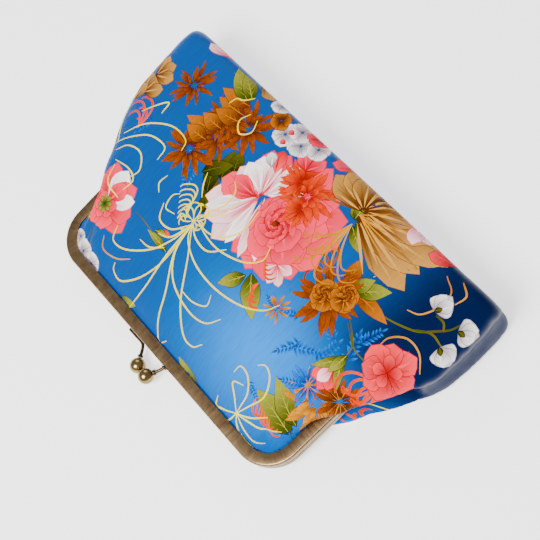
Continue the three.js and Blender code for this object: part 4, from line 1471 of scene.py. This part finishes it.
        self.petal((18, 120), 40, 9, 6, Tint.PEARL, ruffle=0.1, outline=True, veins=2)
        self.rosette((-12, 101), 21, 9, Tint.ROSE, 10, 1.25, 0.1, 2)
        self.rosette((-10, 101), 14.5, 7, Tint.ROSE, 40, 1.3, 0.08, 2)
        self.heart((-9, 101), 11, Tint.ROSE, 4)
        self.petal((-9, 102), -50, 4, 2.6, Tint.BRONZE, outline=True)
        for angle, long in ((-140, 12), (-105, 11), (-70, 9), (170, 10)):
            self.petal((-25, 86), angle, long, 6, Tint.BLUSH, ruffle=0.1, outline=True, veins=2)
        for k in range(6):
            self.curl((-18, 84), (-28 + 2.4 * k, 78 + 1.2 * k), 0.25, 0.3, 1.2, Tint.EMBER, 0.6)
        self.chrysanthemum((-10, 122), 18, 22, Tint.EMBER, relief=0.9, squash=0.85, rings=3)
        self.chrysanthemum((-3, 126), 15, 16, Tint.EMBER, turn=0, spread=190, relief=0.9, rings=2)
        self.chrysanthemum((-13, 116), 12, 12, Tint.EMBER, turn=-60, spread=170, relief=0.9, rings=2)
        for angle, long in ((60, 13), (85, 14), (110, 12), (35, 12)):
            self.petal((2, 131), angle, long, 8, Tint.ROSE, ruffle=0.12, outline=True, veins=2, rim=0.6)
        for tip in ((-54, 108), (-51, 103), (-46, 95), (-44, 104), (-39, 99), (-36, 108), (-31, 103),
            (-28, 112), (-24, 108),
                    (-29, 95), (-40, 112), (-33, 116), (-58, 103)):
            self.curl((-39, 128), tip, 0.12 if tip[0] < -36 else -0.16, 0.3, 0.9, Tint.OCHRE)

    def lay_base(self) -> None:
        """Draws the flowers near the base seam and on the base."""
        for root, tip, wide in (((-40, 127), (-55, 121), 8), ((-40, 130), (-54, 128), 8),
            ((-40, 131), (-31, 139), 8),
                                ((-38, 131), (-36, 141), 7)):
            self.leaf(root, tip, wide, Tint.OLIVE)
        for root, angle, long, wide in (
            ((-38, 132), 192, 49, 17), ((-38, 133), 180, 47, 17), ((-38, 134), 168, 55, 18),
            ((-38, 136), 157, 46, 17),
            ((-38, 136), 10, 27, 13), ((-38, 138), 24, 26, 12), ((-38, 138), 60, 20, 14),
            ((-38, 138), 100, 20, 15),
            ((-38, 138), 135, 24, 15), ((-38, 137), 146, 34, 14), ((-38, 137), 42, 22, 12),
        ):
            self.petal(root, angle, long, wide, Tint.CREAM, ruffle=0.1, outline=True, veins=6, rim=0.5)
        for tip in ((-70, 127), (-72, 136), (-60, 143), (-50, 146), (-66, 132), (-56, 137)):
            self.curl((-38, 134), tip, 0.05, 0.0, 0.7, Tint.OCHRE)
        for u, v, radius, tint in ((16, 139, 7.5, Tint.PEARL), (28, 138, 7.5, Tint.PEARL),
            (7, 144, 7, Tint.PEARL),
                                   (22, 145, 7, Tint.PEARL), (36, 142, 6, Tint.GOLD), (13, 150, 7, Tint.ROSE),
                                   (44, 149, 6, Tint.PEARL)):
            self.rosette((u, v), radius, 7, tint, u * 7, ruffle=0.14, veins=1)
        for u, v in ((25, 134), (26, 141)):
            self.petal((u - 1.6, v), 0, 3.2, 2.8, Tint.CORAL, outline=True)
        for u, v, turn, tint in ((-95, 152, 20, Tint.CORAL), (-62, 156, 200, Tint.BLUSH),
            (66, 153, 160, Tint.CREAM),
                                 (90, 150, 40, Tint.BLUSH), (-18, 155, 10, Tint.ROSE)):
            for lean in (-50, -20, 10, 40):
                self.petal((u, v), turn + lean, 17, 9, tint, ruffle=0.1, outline=True, veins=3)

    def lay_front(self) -> None:
        """Lays the front's print, from the lowest motif to the topmost."""
        self.leaf((-36, 5), (-13, 9), 8, Tint.OLIVE, 0.1)
        self.leaf((40, 5), (28, 13), 7, Tint.OLIVE)
        self.lay_left()
        self.lay_gold()
        self.lay_right()
        self.lay_peony()
        self.lay_base()
        self.lay_threads()

    def turn_round(self, middle: float) -> None:
        """Turns the whole print half round, as cloth that goes under the base brings it up the back."""
        for patch in self.patches:
            for name in ("outline", "root", "tip"):
                setattr(patch, name, np.array((0.0, 2 * middle)) - getattr(patch, name))

    def ground(self, u: np.ndarray, v: np.ndarray) -> np.ndarray:
        """The cloth's own blue, with a painted sheen at the upper left and a painted shade at the lower left.
        """
        # Painted highlight: a soft bright patch where the satin's sheen falls.
        painted_sheen = np.exp(-(((u + 50) / 42) ** 2) - ((v - 48) / 34) ** 2)[:, None]
        # Painted shade: the blue turns navy at the lower left, where the cloth turns away from the light.
        painted_shade = (smooth(-u, 48, 104) * smooth(v, 58, 92))[:, None]
        blue = mix(self.ink(0, 122, 178), self.ink(0, 172, 232), painted_sheen)
        return mix(blue, self.ink(2, 22, 62), painted_shade * 0.9)

    def colours(self, patch: Patch, spots: np.ndarray) -> np.ndarray:
        """A patch's colours at places on the cloth."""
        way = patch.tip - patch.root
        long = max(float(np.linalg.norm(way)), 1e-3)
        off = spots - patch.root
        along = np.clip(off @ way / long**2, 0, 1)
        aside = np.abs(off @ np.array((-way[1], way[0]))) / long
        edge = patch.rim * np.clip(aside / max(patch.half_width, 0.3), 0, 1) ** 2
        share = np.clip(smooth(along, 0.05, 1.0) + 0.45 * edge, 0, 1)[:, None]
        return mix(patch.inner, patch.outer, share)


@dataclass
class Cloth:
    """The two panels: a closed padded body for each, and a printed outer cloth over it."""

    frame: FrameSizes
    bag: BagSizes
    place: BagFrame
    tables: dict[Face, PanelTable] = field(default_factory=dict)
    body_steps: tuple[int, int] = (150, 100)
    print_step: float = 1.8
    under: float = 0.22
    thread_height: float = 0.13

    def shape(self, face: Face) -> PanelTable:
        """Works out a panel's outer surface.

        Args:
            face: which panel.

        Returns:
            Its table.
        """
        table = PanelForm(face, self.frame, self.bag, self.place).table()
        table.points = table.points + table.normals * (self.bag.cloth / 2)
        self.relax(table)
        table.points[..., 2] = np.maximum(table.points[..., 2], 0.0)
        table.renew()
        self.tables[face] = table
        return table

    def relax(self, table: PanelTable) -> None:
        """Adds the cloth's own small relief: puckers at the seams and gathers at the frame."""
        u = np.linspace(-1, 1, table.points.shape[1])[None, :] * table.half_lengths[:, None]
        v = np.broadcast_to(table.along[:, None], u.shape)
        lip = self.frame.band + 1.5
        seam = table.half_lengths[:, None] - np.abs(u)
        below = smooth(v, self.frame.hinge_down + 4, self.frame.hinge_down + 16)
        puckers = np.sin(v * 0.62 + 1.3 * np.sin(v * 0.21)) * np.exp(-((seam - 7) / 6.0) ** 2) * 0.28 * below
        gathers = np.sin(u * 0.42 + 1.1 * np.sin(u * 0.13)) * np.exp(-((v - lip - 6) / 6.0) ** 2) * 0.12
        free = smooth(v, lip + 2, lip + 20) * smooth(seam, 4, 22) * smooth(table.along[-1] - v, 8, 32)
        swell = (np.sin(u * 0.047 + 0.8) * np.sin(v * 0.061 + 0.4) * 0.45
                 + np.sin(u * 0.093 - v * 0.05 + 2.0) * 0.22 + np.sin(v * 0.11 + u * 0.031) * 0.2) * free
        lift = puckers + gathers + swell
        table.points = table.points + table.normals * lift[..., None]

    def body(self, face: Face, material: Material) -> Object:
        """The padded body of a panel, a closed shell just under the printed cloth.

        Args:
            face: which panel.
            material: its finish.

        Returns:
            The piece.
        """
        table = self.tables[face]
        bm = bmesh.new()
        bmesh.ops.create_grid(bm, x_segments=self.body_steps[0], y_segments=self.body_steps[1], size=1.0)
        share = np.array([v.co[:2] for v in bm.verts])
        low = table.along[2]
        v = low + (share[:, 1] + 1) / 2 * (table.along[-1] - low)
        u = share[:, 0] * np.interp(v, table.along, table.half_lengths) * 0.999
        outer, normal = table.blend(table.points, u, v), table.blend(table.normals, u, v)
        made = bmesh.ops.duplicate(bm, geom=[*bm.verts, *bm.edges, *bm.faces])
        inner = [g for g in made["geom"] if isinstance(g, bmesh.types.BMVert)]
        outside = [v for v in bm.verts if v not in set(inner)]
        for verts, depth in ((outside, self.under), (inner, self.under + self.bag.cloth - 0.5)):
            for vert, point, way in zip(verts, outer, normal):
                vert.co = point - way * depth
        bmesh.ops.reverse_faces(bm, faces=[g for g in made["geom"] if isinstance(g, bmesh.types.BMFace)])
        bmesh.ops.bridge_loops(bm, edges=[e for e in bm.edges if e.is_boundary])
        piece = finished(bm, f"padded_body_{face.word}", material)
        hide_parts(f"bag_{face.word}")
        return piece

    def edge(self, table: PanelTable) -> np.ndarray:
        """The panel's flat outline, from the top right round by the base."""
        low, high = table.along[1], table.along[-1]
        v = np.linspace(low, high, 150)
        half = np.interp(v, table.along, table.half_lengths) * 0.9995
        base = np.linspace(half[-1], -half[-1], 150)[1:-1]
        top = np.linspace(-half[0], half[0], 120)[1:-1]
        return np.concatenate([
            np.stack([half, v], 1), np.stack([base, np.full_like(base, high)], 1),
            np.stack([-half, v], 1)[::-1], np.stack([top, np.full_like(top, low)], 1),
        ])

    def fill(self, table: PanelTable, step: float) -> np.ndarray:
        """Places inside the panel on an even grid of triangles."""
        high = table.along[-1]
        places = []
        for k, v in enumerate(np.arange(table.along[1] + step / 2, high - step / 3, step * 0.866)):
            half = float(np.interp(v, table.along, table.half_lengths)) - step / 2
            u = np.arange(-half + (k % 2) * step / 2, half, step)
            places.append(np.stack([u, np.full_like(u, v)], 1))
        return np.concatenate(places)

    def printed(self, face: Face, artwork: Artwork, material: Material) -> Object:
        """The printed cloth over a panel, cut flat along every motif's outline and laid over the body.

        Args:
            face: which panel.
            artwork: its print.
            material: its finish.

        Returns:
            The piece.
        """
        table = self.tables[face]
        shapes = [self.edge(table), *(patch.outline for patch in artwork.patches)]
        spots: list[np.ndarray] = []
        outlines: list[list[int]] = []
        count = 0
        for shape in shapes:
            turned = np.roll(shape, -1, axis=0)
            area = float(np.sum(shape[:, 0] * turned[:, 1] - turned[:, 0] * shape[:, 1]))
            spots.append(shape if area > 0 else shape[::-1])
            outlines.append(list(range(count, count + len(shape))))
            count += len(shape)
        spots.append(self.fill(table, self.print_step))
        places = [Vector(p) for p in np.concatenate(spots)]
        found, _, cells, _, _, origins = delaunay_2d_cdt(places, [], outlines, 0, 1e-4, True)
        kept = [(cell, max(origin)) for cell, origin in zip(cells, origins) if 0 in origin]
        flat = np.array([p[:2] for p in found])
        owners = np.array([owner for _, owner in kept])
        corners = np.array([cell for cell, _ in kept])
        raised = np.zeros(len(flat))
        relief = np.array([0.0, *(patch.relief for patch in artwork.patches)])[owners] * self.thread_height
        for k in range(3):
            np.maximum.at(raised, corners[:, k], relief)
        normals = table.blend(table.normals, flat[:, 0], flat[:, 1])
        points = table.blend(table.points, flat[:, 0], flat[:, 1]) + normals * raised[:, None]
        a, b, c = (points[corners[:, k]] for k in range(3))
        if np.sum(np.cross(b - a, c - a) * normals[corners[:, 0]]) < 0:
            corners = corners[:, ::-1]
        bm = bmesh.new()
        verts = [bm.verts.new(point) for point in points * MM]
        for cell in corners:
            bm.faces.new([verts[i] for i in cell]).smooth = True
        bmesh.ops.delete(bm, geom=[v for v in verts if not v.link_faces], context="VERTS")
        mesh = bpy.data.meshes.new(f"printed_cloth_{face.word}")
        bm.to_mesh(mesh)
        bm.free()
        self.colour(mesh, artwork, flat, corners, owners)
        mesh.materials.append(material)
        piece = bpy.data.objects.new(mesh.name, mesh)
        bpy.context.scene.collection.objects.link(piece)
        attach(piece, "root")
        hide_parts(f"bag_{face.word}")
        log.info("%s: %d faces, %d motif parts", piece.name, len(mesh.polygons), len(artwork.patches))
        return piece

    def colour(self, mesh: Mesh, artwork: Artwork, flat: np.ndarray, corners: np.ndarray,
            owners: np.ndarray) -> None:
        """Writes the print's colours, the ground's painted sheen and shade, its threads and the flat map to
        the corners of the cloth's faces.
        """
        shades = np.ones((len(corners), 3, 4))
        threads = np.zeros((len(corners), 3, 4))
        for owner in np.unique(owners):
            here = owners == owner
            spots = flat[corners[here]].reshape(-1, 2)
            if owner:
                patch = artwork.patches[owner - 1]
                tones = artwork.colours(patch, spots)
                threads[here] = (patch.relief, patch.line, 1.0, 1.0)
            else:
                # The ground's colour holds a painted sheen and a painted shade.
                tones = artwork.ground(spots[:, 0], spots[:, 1])
            shades[here, :, :3] = tones.reshape(-1, 3, 3)
        for name, values in (("ink", shades), ("thread", threads)):
            layer = mesh.color_attributes.new(name, "FLOAT_COLOR", "CORNER")
            layer.data.foreach_set("color", values.astype(np.float32).ravel())
        uv = mesh.uv_layers.new(name="flat_cloth")
        uv.uv.foreach_set("vector", (flat[corners].reshape(-1, 2) * MM).astype(np.float32).ravel())


@dataclass(frozen=True)
class Studio:
    """Floor, lights and camera."""

    place: BagFrame
    face_height: float

    def camera(self) -> Object:
        """The camera, at the photograph's angle."""
        yaw, rise, roll = (math.radians(a) for a in (-27.5447, -1.8865, 224.8047))
        back = Vector((math.sin(yaw) * math.cos(rise), math.sin(rise), math.cos(yaw) * math.cos(rise)))
        right = Vector((math.cos(yaw), 0.0, -math.sin(yaw)))
        up = back.cross(right)
        distance, target = 694.684, Vector((-15.544, 77.262, self.face_height))
        c, s = math.cos(roll), math.sin(roll)
        x_axis = self.place.turn(right * c + up * s)
        y_axis = self.place.turn(up * c - right * s)
        z_axis = self.place.turn(back)
        spot = Vector(self.place.place(target.x, target.y, target.z)) + z_axis * distance
        data = bpy.data.cameras.new("photo_camera")
        data.sensor_width, data.lens = 36.0, 1300 / 540 * 36.0
        data.clip_start, data.clip_end = 0.05, 20.0
        camera = bpy.data.objects.new("photo_camera", data)
        turned = Matrix((x_axis, y_axis, z_axis)).transposed().to_4x4()
        camera.matrix_world = Matrix.Translation(spot * MM) @ turned
        bpy.context.scene.collection.objects.link(camera)
        bpy.context.scene.camera = camera
        return camera

    def floor(self) -> Object:
        """A wide pale floor."""
        bm = bmesh.new()
        bmesh.ops.create_grid(bm, x_segments=1, y_segments=1, size=4.0)
        mesh = bpy.data.meshes.new("floor")
        bm.to_mesh(mesh)
        bm.free()
        material = bpy.data.materials.new("pale_floor")
        material.use_nodes = True
        shader = material.node_tree.nodes["Principled BSDF"]
        shader.inputs["Base Color"].default_value = (0.93, 0.93, 0.93, 1)
        shader.inputs["Roughness"].default_value = 0.9
        shader.inputs["Emission Color"].default_value = (1, 1, 1, 1)
        shader.inputs["Emission Strength"].default_value = 1.3
        mesh.materials.append(material)
        floor = bpy.data.objects.new("floor", mesh)
        bpy.context.scene.collection.objects.link(floor)
        return floor

    def light(self, name: str, spot: Sequence[float], size: float, power: float,
              colour: Colour = (1.0, 1.0, 1.0)) -> Object:
        """A soft square light that points at the clutch.

        Args:
            name: its name.
            spot: where it stands, in metres.
            size: its side, in metres.
            power: its power, in watts.
            colour: its colour.

        Returns:
            The light.
        """
        data = bpy.data.lights.new(name, "AREA")
        data.shape, data.size, data.energy, data.color = "SQUARE", size, power, colour
        lamp = bpy.data.objects.new(name, data)
        lamp.location = spot
        lamp.rotation_mode = "QUATERNION"
        lamp.rotation_quaternion = Vector(spot).to_track_quat("Z", "Y")
        bpy.context.scene.collection.objects.link(lamp)
        return lamp

    def world(self, strength: float) -> None:
        """An even pale surround."""
        world = bpy.data.worlds.new("surround")
        world.use_nodes = True
        world.node_tree.nodes["Background"].inputs[0].default_value = (1.0, 1.0, 1.0, 1)
        world.node_tree.nodes["Background"].inputs[1].default_value = strength
        bpy.context.scene.world = world

    def set_up(self) -> None:
        """Builds all of it."""
        self.camera()
        self.floor()
        self.world(0.45)
        self.light("key", (-0.25, 0.75, 1.2), 0.7, 42.0, (1.0, 0.99, 0.97))
        self.light("fill", (0.9, -0.9, 1.0), 0.8, 8.0, (0.97, 0.98, 1.0))


def main() -> None:
    """Builds the clutch, a class at a time."""
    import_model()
    frame, bag = FrameSizes(), BagSizes()
    place = BagFrame(frame, bag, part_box("frame_front")[1][1] / MM)
    face_height = frame.halves_gap / 2 + 2 * (frame.metal + frame.fit) + bag.cloth
    Studio(place, face_height).set_up()
    effects = Effects()
    brass = BrassFinish("brushed_antique_brass", (140, 116, 84), (92, 62, 38), 0.34, 0.4, True).dress(effects)
    rod_brass = BrassFinish("dark_antique_brass", (92, 74, 50), (44, 33, 22), 0.32, 0.7, False).dress(effects)
    ball_brass = BrassFinish("polished_antique_brass", (150, 128, 78), (74, 58, 32), 0.2, 0.45,
        False).dress(effects)
    satin = SatinFinish("padding_satin", False).dress(effects)
    snap = SnapFrame(frame, bag, place)
    clasp = Clasp(frame, place)
    cloth = Cloth(frame, bag, place)
    print_satin = SatinFinish("printed_satin", True).dress(effects)
    for face in Face:
        snap.half(face, brass)
        clasp.ball(face, ball_brass)
        clasp.stem(face, rod_brass)
        cloth.shape(face)
        cloth.body(face, satin)
        artwork = Artwork(seed=7)
        artwork.lay_front()
        if face is Face.BACK:
            artwork.turn_round(76.0)
        cloth.printed(face, artwork, print_satin)
    for side in (-1, 1):
        snap.rivet(side, rod_brass)


if __name__ == "__main__":
    main()
